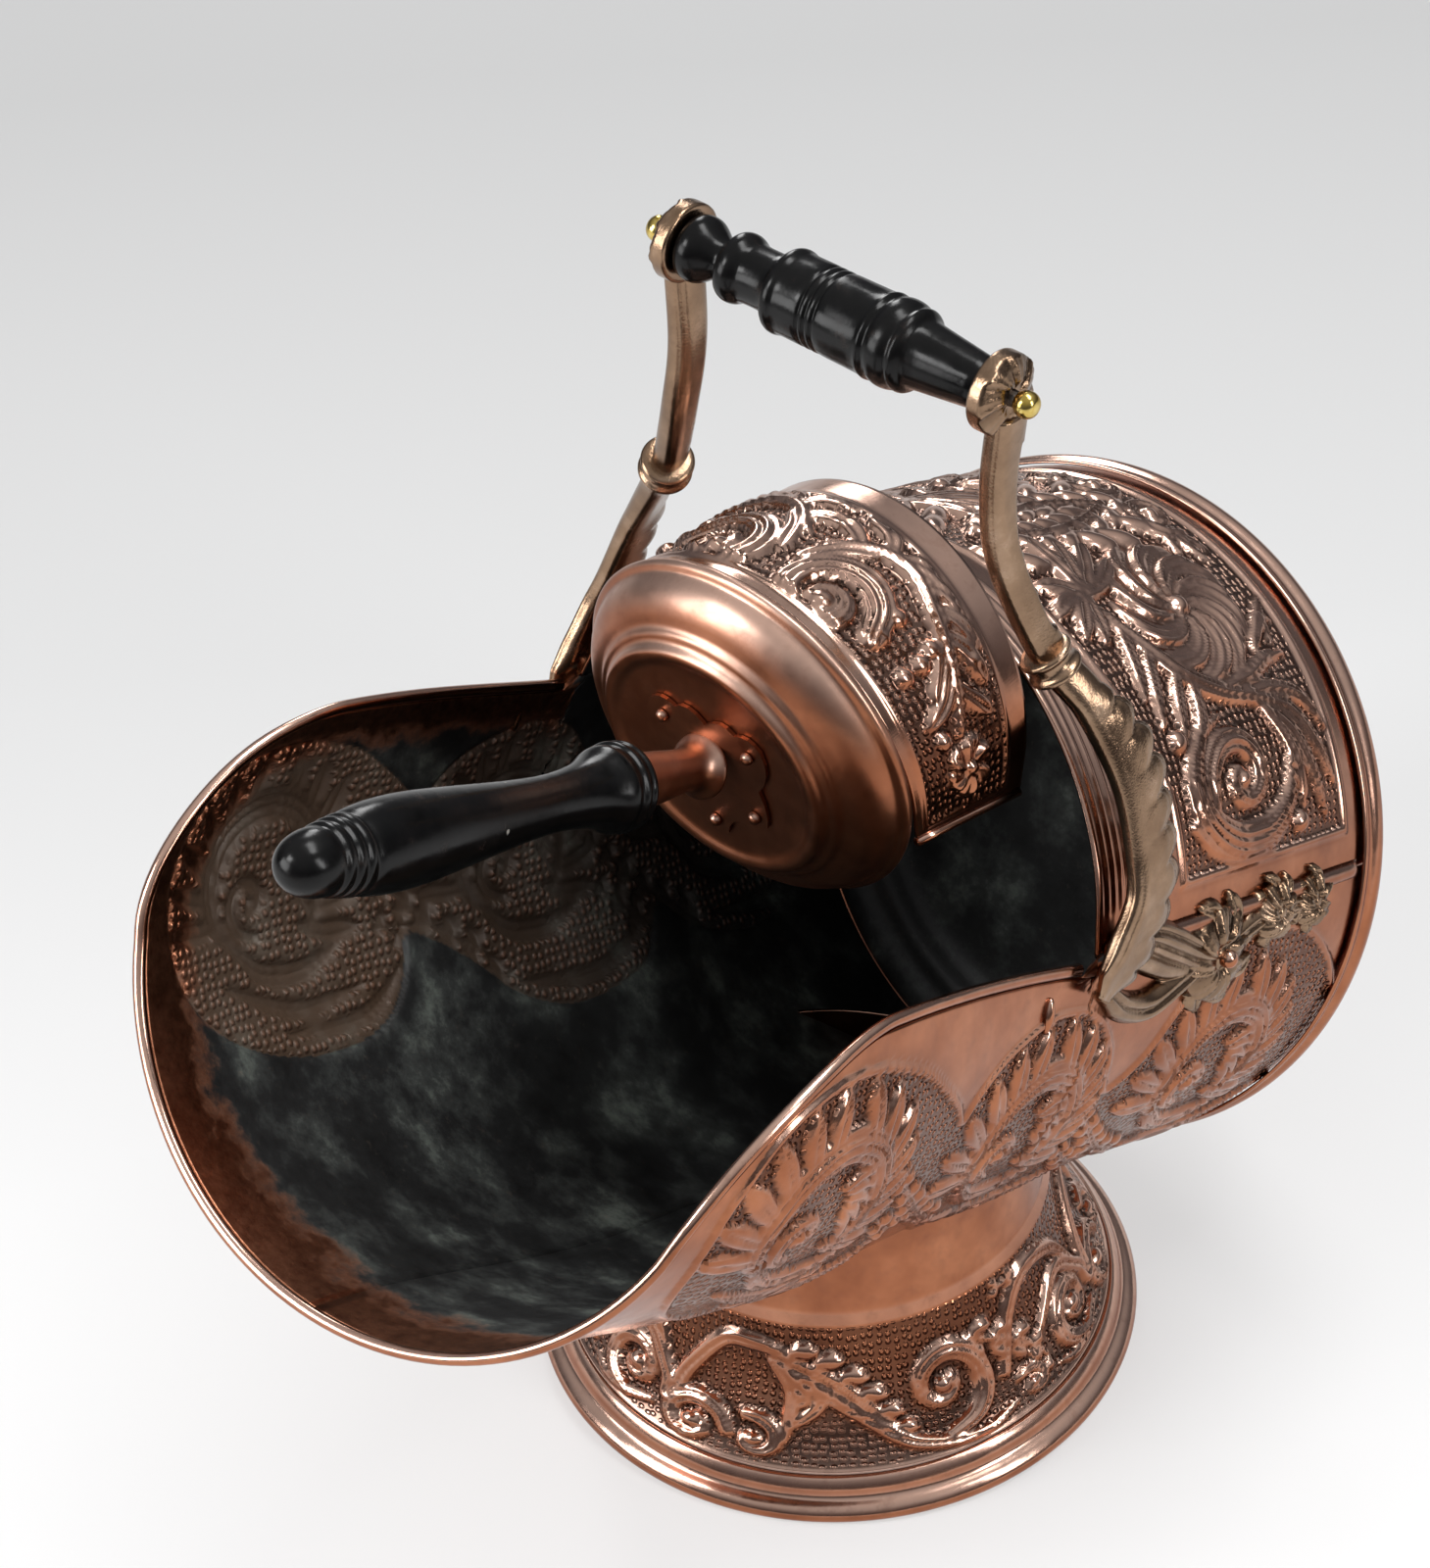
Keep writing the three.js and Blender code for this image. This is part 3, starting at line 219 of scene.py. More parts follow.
def polished_copper(name, beads=True, satin=0.0):
    """Raised copper sheet, buffed bright: a red-brown metal with clear reflections, a painted pale rose
    sheen on what faces up, brown patina and painted shade in the hollows that the cloth doesn't
    reach, faint planishing dents and a punched ground, its pits darkened by dirt and painted shade.
    satin is added to the roughness."""
    made, tree = new_material(name)
    in_mm = in_millimetres(tree)
    recess, ground = painted(tree, "recess"), painted(tree, "ground")
    cloud = put(tree, "TexNoise", Vector=in_mm, Scale=1 / 38, Detail=4.0, Roughness=0.6)
    bloom = put(tree, "TexNoise", Vector=in_mm, Scale=1 / 9, Detail=5.0, Roughness=0.65)
    bare = ramp(tree, cloud, (0.3, "#86523A"), (0.5, "#9B6246"), (0.72, "#B07556"))
    # Painted sheen: what faces up is painted a pale rose, lighter as if lit from above.
    painted_top_sheen = put(tree, "MapRange", {"interpolation_type": "SMOOTHSTEP"},
                Value=painted(tree, "upward"), From_Min=0.22, From_Max=0.78, To_Max=0.9)
    bare = put(tree, "MixRGB", Fac=painted_top_sheen, Color1=bare, Color2=linear("#D2AE9C"))
    spotted = put(tree, "MapRange", Value=bloom, From_Min=0.52, From_Max=0.75, To_Max=0.35)
    dull = put(tree, "MixRGB", Fac=spotted, Color1=bare, Color2=linear("#7E5242"))
    # Painted shade and patina: the hollows, and a little the whole beaded ground, are darkened to a
    # dark brown.
    dark = put(tree, "Math", {"operation": "MULTIPLY", "use_clamp": True}, i0=recess, i1=0.8)
    sunk = put(tree, "Math", {"operation": "MULTIPLY_ADD", "use_clamp": True}, i0=ground, i1=0.15,
               i2=dark)
    colour = put(tree, "MixRGB", Fac=sunk, Color1=dull, Color2=linear("#4A3026"))
    rough = put(tree, "MapRange", Value=bloom, From_Min=0.3, From_Max=0.75, To_Min=0.13 + satin,
                To_Max=0.25 + satin)
    rougher = put(tree, "Math", {"operation": "MULTIPLY_ADD"}, i0=sunk, i1=0.16, i2=rough)
    dents = put(tree, "TexNoise", Vector=in_mm, Scale=1 / 17, Detail=1.0)
    # Polishing lines run aslant, about 0.4 mm apart and 11 mm long.
    along_lines = put(tree, "Mapping", Vector=in_mm, Scale=(2.6, 0.09, 0.9),
                      Rotation=(0.4, 0.2, 0.6))
    scratches = put(tree, "TexNoise", Vector=along_lines, Scale=1.0, Detail=2.0)
    bumped = put(tree, "Bump", Height=dents, Strength=0.5, Distance=0.0007)
    bumped = put(tree, "Bump", Height=scratches, Strength=0.12, Distance=0.00012, Normal=bumped)
    if beads:
        dome = punched_beads(tree, 3.6, 0.12, 0.46)
        raised = put(tree, "Math", {"operation": "MULTIPLY"}, i0=dome, i1=ground)
        bumped = put(tree, "Bump", Height=raised, Strength=1.0, Distance=0.0011, Normal=bumped)
        # Between the beads the colour is darkened towards a near black brown: dirt in the pits and
        # painted shade.
        between = put(tree, "Math", {"operation": "SUBTRACT"}, i0=1.0, i1=dome)
        pit = put(tree, "Math", {"operation": "MULTIPLY"}, i0=between, i1=ground)
        pit_dirt_and_shade = put(tree, "Math", {"operation": "MULTIPLY"}, i0=pit, i1=0.6)
        colour = put(tree, "MixRGB", Fac=pit_dirt_and_shade, Color1=colour, Color2=linear("#2E1A14"))
    return surfaced(made, Base_Color=colour, Metallic=1.0, Roughness=rougher, Normal=bumped)


plain_copper = polished_copper("polished_spun_copper", beads=False)
embossed_copper = polished_copper("polished_embossed_copper")
# The shovel's end was buffed less finely, so its reflections are soft.
satin_copper = polished_copper("satin_spun_copper", beads=False, satin=0.16)


def piece(name, bm, material, body="scuttle", stands_for=(), subdivisions=0,
          into=None):
    """Ends a bmesh as one finished object that rides on its body."""
    if into is not None:
        bm.transform(into)
    bm.normal_update()
    # How much each point faces up, which the copper uses for its painted sheen.
    upward = bm.verts.layers.float.new("upward")
    for vert in bm.verts:
        vert[upward] = vert.normal.z
    mesh = bpy.data.meshes.new(name)
    bm.to_mesh(mesh)
    bm.free()
    for one in material if isinstance(material, (list, tuple)) else [material]:
        mesh.materials.append(one)
    mesh.shade_smooth()
    made = bpy.data.objects.new(name, mesh)
    bpy.context.scene.collection.objects.link(made)
    if subdivisions:
        smooth = made.modifiers.new("smooth", "SUBSURF")
        smooth.levels = smooth.render_levels = subdivisions
    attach(made, body)
    if stands_for:
        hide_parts(*stands_for)
    return made


def turned(outline, steps=48):
    """Spins an outline of (radius, height) in mm about Z into a closed bmesh."""
    bm = bmesh.new()
    points = [bm.verts.new((r, 0, z)) for r, z in outline]
    edges = [bm.edges.new(pair) for pair in zip(points, points[1:])]
    if outline[0] != outline[-1] and (outline[0][0] > 0 or outline[-1][0] > 0):
        edges.append(bm.edges.new((points[-1], points[0])))
    bmesh.ops.spin(bm, geom=points + edges, axis=(0, 0, 1), cent=(0, 0, 0), steps=steps,
                   angle=2 * math.pi, use_merge=True)
    bmesh.ops.remove_doubles(bm, verts=bm.verts, dist=1e-4)
    bmesh.ops.dissolve_degenerate(bm, edges=bm.edges, dist=1e-4)
    bmesh.ops.recalc_face_normals(bm, faces=bm.faces)
    return bm


ring_top = 17.7
ring_outline = [(107, 0), (110, 0), (121, 0), (124, 0.6), (foot_radius, 3.2),
                (foot_radius - 0.4, 5.8),
                (122, 8.2), (120, 8.9), (119, 9.6), (118.2, 10.6), (117.8, 12.6), (116.8, 14.6),
                (115.4, 16.4), (114.2, ring_top), (112.8, 17.2), (111.2, 16.3), (107.6, 12.6),
                (107, 11), (107, 2)]
piece("foot_ring_rolled", turned(ring_outline, 96), plain_copper, stands_for=["foot_base_ring"],
      subdivisions=1, into=upright)

# ---------------------------------------------------------------- foot bell
# The flared foot: one raised copper sheet whose band is embossed with scrolls and acanthus over a
# ground of punched beads, with a plain neck that is cut to the barrel and soldered under it.


def smooth_line(points, spacing=1.0):
    """Evenly spaced places on a smooth curve through the points, in mm."""
    given = np.array(points, float)
    padded = np.vstack([2 * given[0] - given[1], given, 2 * given[-1] - given[-2]])
    found = []
    for p0, p1, p2, p3 in zip(padded, padded[1:], padded[2:], padded[3:]):
        count = max(int(np.linalg.norm(p2 - p1) / spacing * 1.15), 3)
        t = np.linspace(0, 1, count, endpoint=False)[:, None]
        found.append(0.5 * (2 * p1 + (p2 - p0) * t + (2 * p0 - 5 * p1 + 4 * p2 - p3) * t ** 2
                            + (3 * p1 - p0 - 3 * p2 + p3) * t ** 3))
    return np.vstack([*found, given[-1]])


def spiral(centre, inner, outer, start, turns):
    """Points on a scroll that grows from its eye; start in degrees, turns < 0 for clockwise."""
    count = max(int(abs(turns) * 12), 4)
    share = np.linspace(0, 1, count + 1)
    turn = math.radians(start) + 2 * math.pi * turns * share
    radius = inner * (outer / inner) ** share
    return [(centre[0] + r * math.cos(a), centre[1] + r * math.sin(a)) for r,
            a in zip(radius, turn)]


class Relief:
    """The height in mm that embossing raises a sheet, over the sheet laid flat: u and v in mm."""

    def __init__(self, u, v):
        self.u, self.v = u, v
        self.height = np.zeros_like(u)

    def stroke(self, path, half, rise, tip=0.15, root=0.7, ribs=1, belly=0.45):
        """One raised leaf, rib or stem along a path, half its width wide at its belly."""
        line = smooth_line(path)
        reach = half * 1.3
        low, high = line.min(0) - reach, line.max(0) + reach
        near = ((self.u > low[0]) & (self.u < high[0]) & (self.v > low[1]) & (self.v < high[1]))
        if not near.any():
            return
        du = self.u[near][:, None] - line[None, :, 0]
        dv = self.v[near][:, None] - line[None, :, 1]
        away = du * du + dv * dv
        nearest = away.argmin(1)
        row = np.arange(len(nearest))
        t = nearest / (len(line) - 1)
        heading = np.gradient(line, axis=0)
        heading /= np.linalg.norm(heading, axis=1)[:, None] + 1e-9
        side = du[row, nearest] * heading[nearest, 1] - dv[row, nearest] * heading[nearest, 0]
        rising = np.clip(t / belly, 0, 1)
        falling = np.clip((1 - t) / (1 - belly), 0, 1)
        swell = (root + (1 - root) * np.sin(rising * math.pi / 2)) * (
            tip + (1 - tip) * np.sin(falling * math.pi / 2) ** 0.8)
        width = half * swell
        x = np.sqrt(away[row, nearest]) / width
        body = np.clip(1 - x * x, 0, 1) ** 0.55
        if ribs > 1:
            across = np.clip(side / width, -1, 1)
            groove = np.abs(np.sin((across + 1) / 2 * ribs * math.pi)) ** 0.8
            body = body * (0.52 + 0.48 * groove)
        lift = rise * (0.45 + 0.55 * swell) * body
        self.height[near] = np.maximum(self.height[near], lift)

    def whirl(self, centre, radius, rise, petals, turn=66, ribs=3, hub=0.14):
        """A turning rosette: ribbed petals that overlap one way and curl round a plain boss."""
        du, dv = self.u - centre[0], self.v - centre[1]
        away = np.hypot(du, dv)
        share = np.clip(away / radius, 0, 1.2)
        around = np.degrees(np.arctan2(dv, du)) + turn * share ** 1.6
        petal = around / 360 * petals % 1
        outline = radius * (0.84 + 0.16 * np.sin(petal * math.pi) ** 0.7)
        step = (0.3 + 0.7 * petal ** 0.8) * np.clip((1 - petal) / 0.12, 0, 1) ** 0.5
        groove = 0.7 + 0.3 * np.abs(np.sin(petal * ribs * math.pi))
        grow = 0.4 + 0.6 * np.sin(np.clip(share / 0.75, 0, 1) * math.pi / 2)
        edge = np.clip((outline - away) / (0.14 * radius), 0, 1) ** 0.5
        self.height = np.maximum(self.height, rise * step * groove * grow * edge)
        self.boss(centre, radius * hub, rise)

    def boss(self, centre, radius, rise):
        """A round bead or the eye of a scroll."""
        away = np.hypot(self.u - centre[0], self.v - centre[1]) / radius
        self.height = np.maximum(self.height, rise * np.sqrt(np.clip(1 - away ** 2, 0, 1)))

    def leaf(self, path, half, rise, pairs=5, fork=40, ribs=2):
        """An acanthus leaf: a ribbed stem whose round-ended lobes lie side by side and sweep on."""
        line = smooth_line(path)
        heading = np.gradient(line, axis=0)
        heading /= np.linalg.norm(heading, axis=1)[:, None] + 1e-9
        length = np.linalg.norm(np.diff(line, axis=0), axis=1).sum()
        lobe_half = 0.46 * 0.82 * length / max(pairs - 1, 1)
        for k in range(pairs):
            t = 0.05 + 0.82 * k / max(pairs - 1, 1)
            at = line[int(t * (len(line) - 1))]
            ahead = heading[int(t * (len(line) - 1))]
            long = half * (1.1 + 0.9 * math.sin(math.pi * (0.2 + 0.7 * t))) * (1.1 - 0.5 * t)

            def swept(turn, reach, hand, origin):
                cos, sin = math.cos(math.radians(turn)), math.sin(math.radians(turn)) * hand
                turned_ahead = (ahead[0] * cos - ahead[1] * sin, ahead[0] * sin + ahead[1] * cos)
                return origin + reach * np.array(turned_ahead)

            for hand in (-1, 1):
                bent = swept(fork + 18, long * 0.5, hand, at)
                end = swept(fork - 16, long * 0.6, hand, bent)
                self.stroke([at, bent, end], min(lobe_half, half * 0.6), rise * 0.9, tip=0.5,
                            root=0.4, belly=0.72)
        self.stroke(path, half * 0.45, rise, tip=0.2, root=0.6, ribs=ribs)

    def scroll(self, centre, inner, outer, start, turns, rise, ribs=3, half=5.0):
        """A ribbed volute about a round eye."""
        path = spiral(centre, inner, outer, start, turns)[::-1]
        self.stroke(path, half, rise, tip=0.4, root=0.75, ribs=ribs, belly=0.25)
        self.boss(centre, inner * 0.95, rise * 0.95)


def inside(u, v, corners):
    """Where the places (u, v) lie inside a closed outline."""
    found = np.zeros(u.shape, bool)
    for (u0, v0), (u1, v1) in zip(corners, np.roll(corners, -1, axis=0)):
        if v0 == v1:
            continue
        crossed = (v0 > v) != (v1 > v)
        found ^= crossed & (u < (u1 - u0) * (v - v0) / (v1 - v0) + u0)
    return found


def blurred(values, cells):
    """Each value's mean over a square of neighbours, on a grid."""
    padded = np.pad(values, cells, mode="edge")
    for axis in (0, 1):
        total = np.cumsum(np.insert(padded, 0, 0, axis=axis), axis=axis)
        size = 2 * cells + 1
        after = np.take(total, range(size, total.shape[axis]), axis=axis)
        padded = (after - np.take(total, range(after.shape[axis]), axis=axis)) / size
    return padded


def hollows(height, cells, gain=0.45):
    """How deep each place lies among those within that many cells, which the metals darken as patina
    where no cloth polishes and as painted shade.
    """
    return np.clip((blurred(height, cells) - height) * gain, 0, 1)


def laid_sheet(columns, rows, lay):
    """A flat grid bent to its form: lay(across, along), both 0 to 1, gives each point's place, its
    place on the flat sheet in mm, and the values of its attributes."""
    bm = bmesh.new()
    bmesh.ops.create_grid(bm, x_segments=columns, y_segments=rows, size=0.5)
    bm.verts.ensure_lookup_table()
    flat = np.array([vert.co[:2] for vert in bm.verts]) + 0.5
    order = np.lexsort((flat[:, 0].round(5), flat[:, 1].round(5)))
    shape = (rows + 1, columns + 1)
    points, developed, values = lay(flat[order, 0].reshape(shape), flat[order, 1].reshape(shape))
    points = points.reshape(-1, 3)
    developed = developed.reshape(-1, 2) * MM
    layers = {name: bm.verts.layers.float.new(name) for name in values}
    on_flat = {}
    for rank, index in enumerate(order):
        vert = bm.verts[index]
        vert.co = points[rank]
        on_flat[vert] = developed[rank]
        for name, layer in layers.items():
            vert[layer] = values[name].flat[rank]
    uv = bm.loops.layers.uv.new("flat_mm")
    for face in bm.faces:
        for loop in face.loops:
            loop[uv].uv = on_flat[loop.vert]
    return bm


def bezier(p0, c0, c1, p1, t):
    """Points (r, z) on one cubic curve at the shares t."""
    t = t[..., None]
    return ((1 - t) ** 3 * np.array(p0) + 3 * (1 - t) ** 2 * t * np.array(c0)
            + 3 * (1 - t) * t * t * np.array(c1) + t ** 3 * np.array(p1))


sheet_wall = 1.4
barrel_tilt = math.radians(23.8)
barrel_axis_y = foot_y / MM + 164
barrel_axis_z = 164.5
back_radius = 138.5
band_length = 68
degree_width = 1.75
foot_repeat = 120


def foot_relief(turn, along):
    """The band's scrolls, in three equal stretches round the foot; turn in degrees from the front."""
    phase = (turn + 25) % foot_repeat - 25
    relief = Relief(phase * degree_width, along)
    w = degree_width
    relief.stroke([(-25 * w, 30), (-12 * w, 44), (-2 * w, 30), (0, 20), (4 * w, 38), (12 * w, 55),
                   (20 * w, 57), (27 * w, 55)], 4.6, 3.6, ribs=2, root=0.5, tip=0.6)
    relief.scroll((7 * w, 14), 5, 15, 60, -1.15, 4.0)
    relief.scroll((22 * w, 15), 4, 12, 150, 0.9, 3.6, ribs=2, half=4)
    for bend_u, foot_v in ((30, 12), (37, 20), (33, 31)):
        relief.stroke([(25 * w, 51), (bend_u * w, 38), (28 * w, foot_v)], 4.2, 3.2, ribs=2)
    relief.leaf([(27 * w, 54), (40 * w, 45), (50 * w, 30), (57 * w, 14)], 6.5, 3.6, pairs=6,
                fork=36)
    relief.stroke([(38 * w, 38), (47 * w, 28), (58 * w, 12), (72 * w, 5), (82 * w, 10)], 4.4, 3.6,
                  ribs=2, tip=0.4)
    relief.scroll((66 * w, 35), 4.6, 24, 36, -1.35, 4.2, half=5.5)
    relief.scroll((88 * w, 13), 3.6, 8, 200, 0.8, 3.0, ribs=2, half=3)
    relief.leaf([(74 * w, 50), (84 * w, 40), (92 * w, 28), (96 * w, 10)], 5.5, 3.4, pairs=5,
                fork=34)
    for shift in (0, -foot_repeat):
        relief.stroke([((82 + shift) * w, 26), ((88 + shift) * w, 50), ((97 + shift) * w, 60),
                       ((110 + shift) * w, 52), ((120 + shift) * w, 28)], 4.4, 3.8, ribs=2)
        relief.scroll(((109 + shift) * w, 24), 5, 17, 200, 1.2, 4.0)
        relief.leaf([((98 + shift) * w, 58), ((92 + shift) * w, 60), ((84 + shift) * w, 62)], 4,
                    2.6,
                    pairs=3)
        relief.stroke([((116 + shift) * w, 12), ((104 + shift) * w, 5), ((96 + shift) * w, 10)],
                      3.4,
                      2.8, ribs=2)
    edges = np.clip(np.minimum(along - 1.5, band_length - 3.0 - along) / 3.0, 0, 1)
    return relief.height * edges


band_share = 0.84
neck_foot = 81.6
neck_heights, neck_radii = (80, 92, 108, 132), (86.4, 84.2, 81.4, 79)


def lay_foot(across, along):
    """The foot's sheet: the embossed band, then the plain neck."""
    turn = across * 360
    band = along < band_share
    share = np.where(band, along / band_share, (along - band_share) / (1 - band_share))
    low = bezier((113, 18.3), (102, 28), (92, 52), (88, 80), share)
    radius, line = low[..., 0], low[..., 1]
    length = share * band_length
    relief = np.where(band, foot_relief(turn, length), 0)
    slope = np.gradient(line[:, 0]), np.gradient(radius[:, 0])
    lean = np.arctan2(-slope[1], slope[0])[:, None]
    # The neck runs up until it meets the underside of the tilted barrel.
    angle = np.radians(turn - 90)
    low_z, high_z = np.full(turn.shape, 60.0), np.full(turn.shape, 170.0)
    for _ in range(24):
        half_way = (low_z + high_z) / 2
        neck_r = np.interp(half_way, neck_heights, neck_radii)
        x, y = neck_r * np.cos(angle), neck_r * np.sin(angle) + foot_y / MM
        dy, dz = y - barrel_axis_y, half_way - barrel_axis_z
        up = dy * math.sin(barrel_tilt) + dz * math.cos(barrel_tilt)
        clear = np.hypot(x, up) > back_radius + 0.3
        low_z, high_z = np.where(clear, half_way, low_z), np.where(clear, high_z, half_way)
    neck_z = neck_foot + (low_z - neck_foot) * share
    neck_radius = np.interp(neck_z, neck_heights, neck_radii)
    raised = np.where(band, radius + relief * np.cos(lean), neck_radius)
    height = np.where(band, line + relief * np.sin(lean), neck_z)
    points = np.stack([raised * np.cos(angle), raised * np.sin(angle), height], -1)
    values = {"recess": hollows(relief, 4) * band,
              "ground": ((relief < 0.35) & band & (length > 3) & (length < band_length - 3)) * 1.0}
    developed = np.stack([turn * degree_width, length], -1)
    return points, developed, values


bell = laid_sheet(560, 76, lay_foot)
bmesh.ops.remove_doubles(bell, verts=bell.verts, dist=0.02)
bmesh.ops.recalc_face_normals(bell, faces=bell.faces)


def walled(made, thickness, inner=0):
    """Gives a sheet its wall, inwards from the face that is modelled."""
    wall = made.modifiers.new("wall", "SOLIDIFY")
    wall.thickness = thickness * MM
    wall.offset = -1
    wall.material_offset = inner


foot_sheet = piece("foot_bell_embossed", bell, embossed_copper, stands_for=["foot_bell"],
                   into=upright)
walled(foot_sheet, sheet_wall)

# ---------------------------------------------------------------- lower body
# The barrel's lower half and the mouth are one raised copper sheet: scrolls of acanthus stand in
# beaded borders on both sides, polished outside and black with coal soot inside, where the copper
# shows again along the lip.
barrel = (Matrix.Translation((0, barrel_axis_y * MM, barrel_axis_z * MM))
          @ Matrix.Rotation(-barrel_tilt, 4, "X") @ Matrix.Scale(MM, 4))
hood_length = 187
corner_station = 323
corner_angle = math.radians(107.3)
edge_start_angle = math.radians(102.2)
seam_angle = math.radians(104)
shoulder_angle = math.radians(76)
shoulder_station = 418
lip_station = 437.5
flare_radius = 141.5
rim_radius = 2.4


def eased(place, *stations):
    """A smooth value through (place, value) stations."""
    found = np.full(np.shape(place), float(stations[0][1]))
    for (start, low), (end, high) in zip(stations, stations[1:]):
        t = np.clip((place - start) / (end - start), 0, 1)
        found = np.where(place >= start, low + (high - low) * t * t * (3 - 2 * t), found)
    return found


def skin(station, angle):
    """The barrel's outer radius; angle is measured from its lowest line."""
    side = eased(station, (0, back_radius), (190, 133), (355, flare_radius), (lip_station, 132))
    bottom = eased(station, (250, back_radius), (lip_station, 116.5))
    depth = np.where(np.cos(angle) > 0, bottom, back_radius)
    return 1 / np.hypot(np.sin(angle) / side, np.cos(angle) / depth)


def on_barrel(station, angle, radius):
    """Points in the barrel's own frame, whose axis runs along -Y to the mouth."""
    return np.stack([radius * np.sin(angle), -station, -radius * np.cos(angle)], -1)


def edge_angle(station, inset=0.0):
    t = np.clip((station - hood_length) / (corner_station - hood_length), 0, 1)
    free = edge_start_angle + (corner_angle - edge_start_angle) * np.sin(t * math.pi / 2)
    under = np.clip((station - hood_length) / 2, 0, 1)
    return seam_angle - 0.002 + (free - inset / 135 - seam_angle + 0.002) * under


def mouth_station(angle, inset=0.0):
    turn = np.abs(angle)
    top = corner_angle - inset / flare_radius
    t = np.clip((turn - shoulder_angle) / (top - shoulder_angle), 0, 1)
    side = corner_station + (shoulder_station - inset - corner_station) * (1 - t ** 1.8) ** 0.6
    front = lip_station - inset - (lip_station - shoulder_station) * (turn / shoulder_angle) ** 2
    return np.where(turn <= shoulder_angle, front, side)


# Flat places on a side: u along the barrel, v down from a line at 106 degrees, both in mm.
side_zero = math.radians(106)
upper_border = [(4, 64), (12, 52), (24, 38), (42, 25), (66, 18), (92, 20), (112, 32), (124, 44),
                (134, 60), (144, 70), (153, 74), (158, 66), (164, 50), (176, 35), (190, 27),
                (207, 24),
                (225, 27), (243, 34), (256, 45), (262, 54), (270, 44), (285, 32), (300, 22),
                (316, 16), (333, 12), (350, 12), (366, 16), (380, 24), (391, 37), (399, 54),
                (401, 74)]
lower_border = [(401, 74), (398, 96), (388, 114), (370, 128), (346, 137), (320, 140), (298, 137),
                (284, 130), (275, 119), (270, 104), (258, 108), (245, 116), (232, 126), (219, 138),
                (203, 147), (184, 152), (160, 150), (138, 144), (128, 132), (120, 122), (104, 134),
                (84, 142), (60, 144), (36, 138), (18, 126), (6, 110)]


def spray(relief, centre, size):
    """One turning acanthus spray: a fan of ribbed leaf tips over a broad ribbed curl, with short
    fringes and a small volute inside it."""

    def at(turn, radius):
        angle = math.radians(turn)
        return centre[0] + radius * size * math.cos(angle), centre[1] - radius * size * math.sin(angle)

    tips = ((208, 50), (190, 48), (172, 47), (154, 47), (136, 49), (118, 50), (100, 51), (82, 51),
            (64, 51), (46, 51), (28, 52), (10, 52), (-8, 52))
    for turn, reach in tips:
        sway = 20 if turn > 90 else -16
        relief.stroke([at(turn + sway, 24), at(turn + 0.45 * sway, 36), at(turn, reach)],
                      5.6 * size,
                      3.3, ribs=2, tip=0.42, root=0.5, belly=0.66)
    relief.stroke([at(226, 30), at(196, 29), at(162, 29), at(126, 30), at(88, 30), at(50, 30),
                   at(14, 29), at(-20, 28), at(-52, 27)], 8.0 * size, 4.2, ribs=4, tip=0.3,
                   root=0.35,
                  belly=0.5)
    for turn in (214, 196, 178, 160, 142):
        relief.stroke([at(turn, 25), at(turn - 14, 19), at(turn - 26, 13)], 2.9 * size, 2.8,
                      tip=0.6,
                      belly=0.6)
    relief.scroll(at(-30, 9), 3.4, 13 * size, 40, 1.15, 3.4, ribs=2, half=4.2 * size)
    relief.stroke([at(-52, 27), at(-80, 31), at(-112, 36), at(-140, 44)], 6.0 * size, 3.6, ribs=3,
                  tip=0.35, root=0.6)


def side_relief(u, v):
    relief = Relief(u, v)
    spray(relief, (343, 70), 1.08)
    spray(relief, (206, 82), 1.06)
    spray(relief, (80, 82), 1.04)
    for start, bend_at, end in (((228, 120), (256, 102), (296, 66)), ((218, 132), (252, 118), (290,
                                                                                               92)),
                                ((96, 130), (126, 114), (164, 80)),
                                ((92, 140), (128, 128), (160, 104))):
        relief.leaf([start, bend_at, end], 6.0, 3.0, pairs=6, fork=30)
    for start, bend_at, end in (((268, 112), (300, 130), (346, 128)), ((132, 128), (168, 142), (214,
                                                                                                136)),
                                ((12, 116), (44, 134), (88, 134)), ((300, 118), (336, 120), (372,
                                                                                             104))):
        relief.stroke([start, bend_at, end], 5.4, 3.2, ribs=3, tip=0.3, root=0.4)
    outline = np.vstack([smooth_line(upper_border, 4), smooth_line(lower_border, 4)])
    bordered = inside(u, v, outline)
    # The relief fades out just inside the border.
    relief.height *= blurred(bordered * 1.0, 2) ** 2
    raised = relief.height.copy()
    for border in (upper_border, lower_border):
        relief.stroke(border, 1.7, 1.3, tip=1, root=1)
    return relief.height, bordered & (raised < 0.35) & (relief.height < 0.5), bordered


def lay_half(across, along, hand):
    """One half of the body, from the lowest line up to the free edge; hand is 1 on the right."""
    inset = rim_radius + 0.5
    plain_share, plain_turn = 0.14, 0.36
    spread = np.where(across < plain_share, across / plain_share * plain_turn,
                      plain_turn + (across - plain_share) / (1 - plain_share) * (1 - plain_turn))
    end = mouth_station(spread * (corner_angle - inset / flare_radius), inset)
    station = 1.5 + (end - 1.5) * along
    angle = spread * edge_angle(station, inset)
    down = (side_zero - angle) * back_radius
    height, ground, bordered = side_relief(station, down)
    points = on_barrel(station, angle * hand, skin(station, angle) + height)
    to_lip = end - station
    to_edge = (edge_angle(station, inset) - angle) * back_radius
    lip = np.clip(1 - np.minimum(to_lip / 52, np.where(station > hood_length, to_edge / 30, 9)), 0,
                  1)
    values = {"recess": hollows(height, 3), "ground": ground * 1.0, "lip": lip,
              "embossed": bordered * np.clip((station - 60) / 240, 0, 1)}
    return points, np.stack([station, down * hand], -1), values


def outward_faces(bm):
    """Turns a curved sheet's faces away from the long axis that it bends round."""
    bmesh.ops.recalc_face_normals(bm, faces=bm.faces)
    bm.normal_update()
    facing = 0
    for face in bm.faces:
        out = face.calc_center_median()
        out.y = 0
        facing += face.normal.dot(out)
    if facing < 0:
        bmesh.ops.reverse_faces(bm, faces=bm.faces)


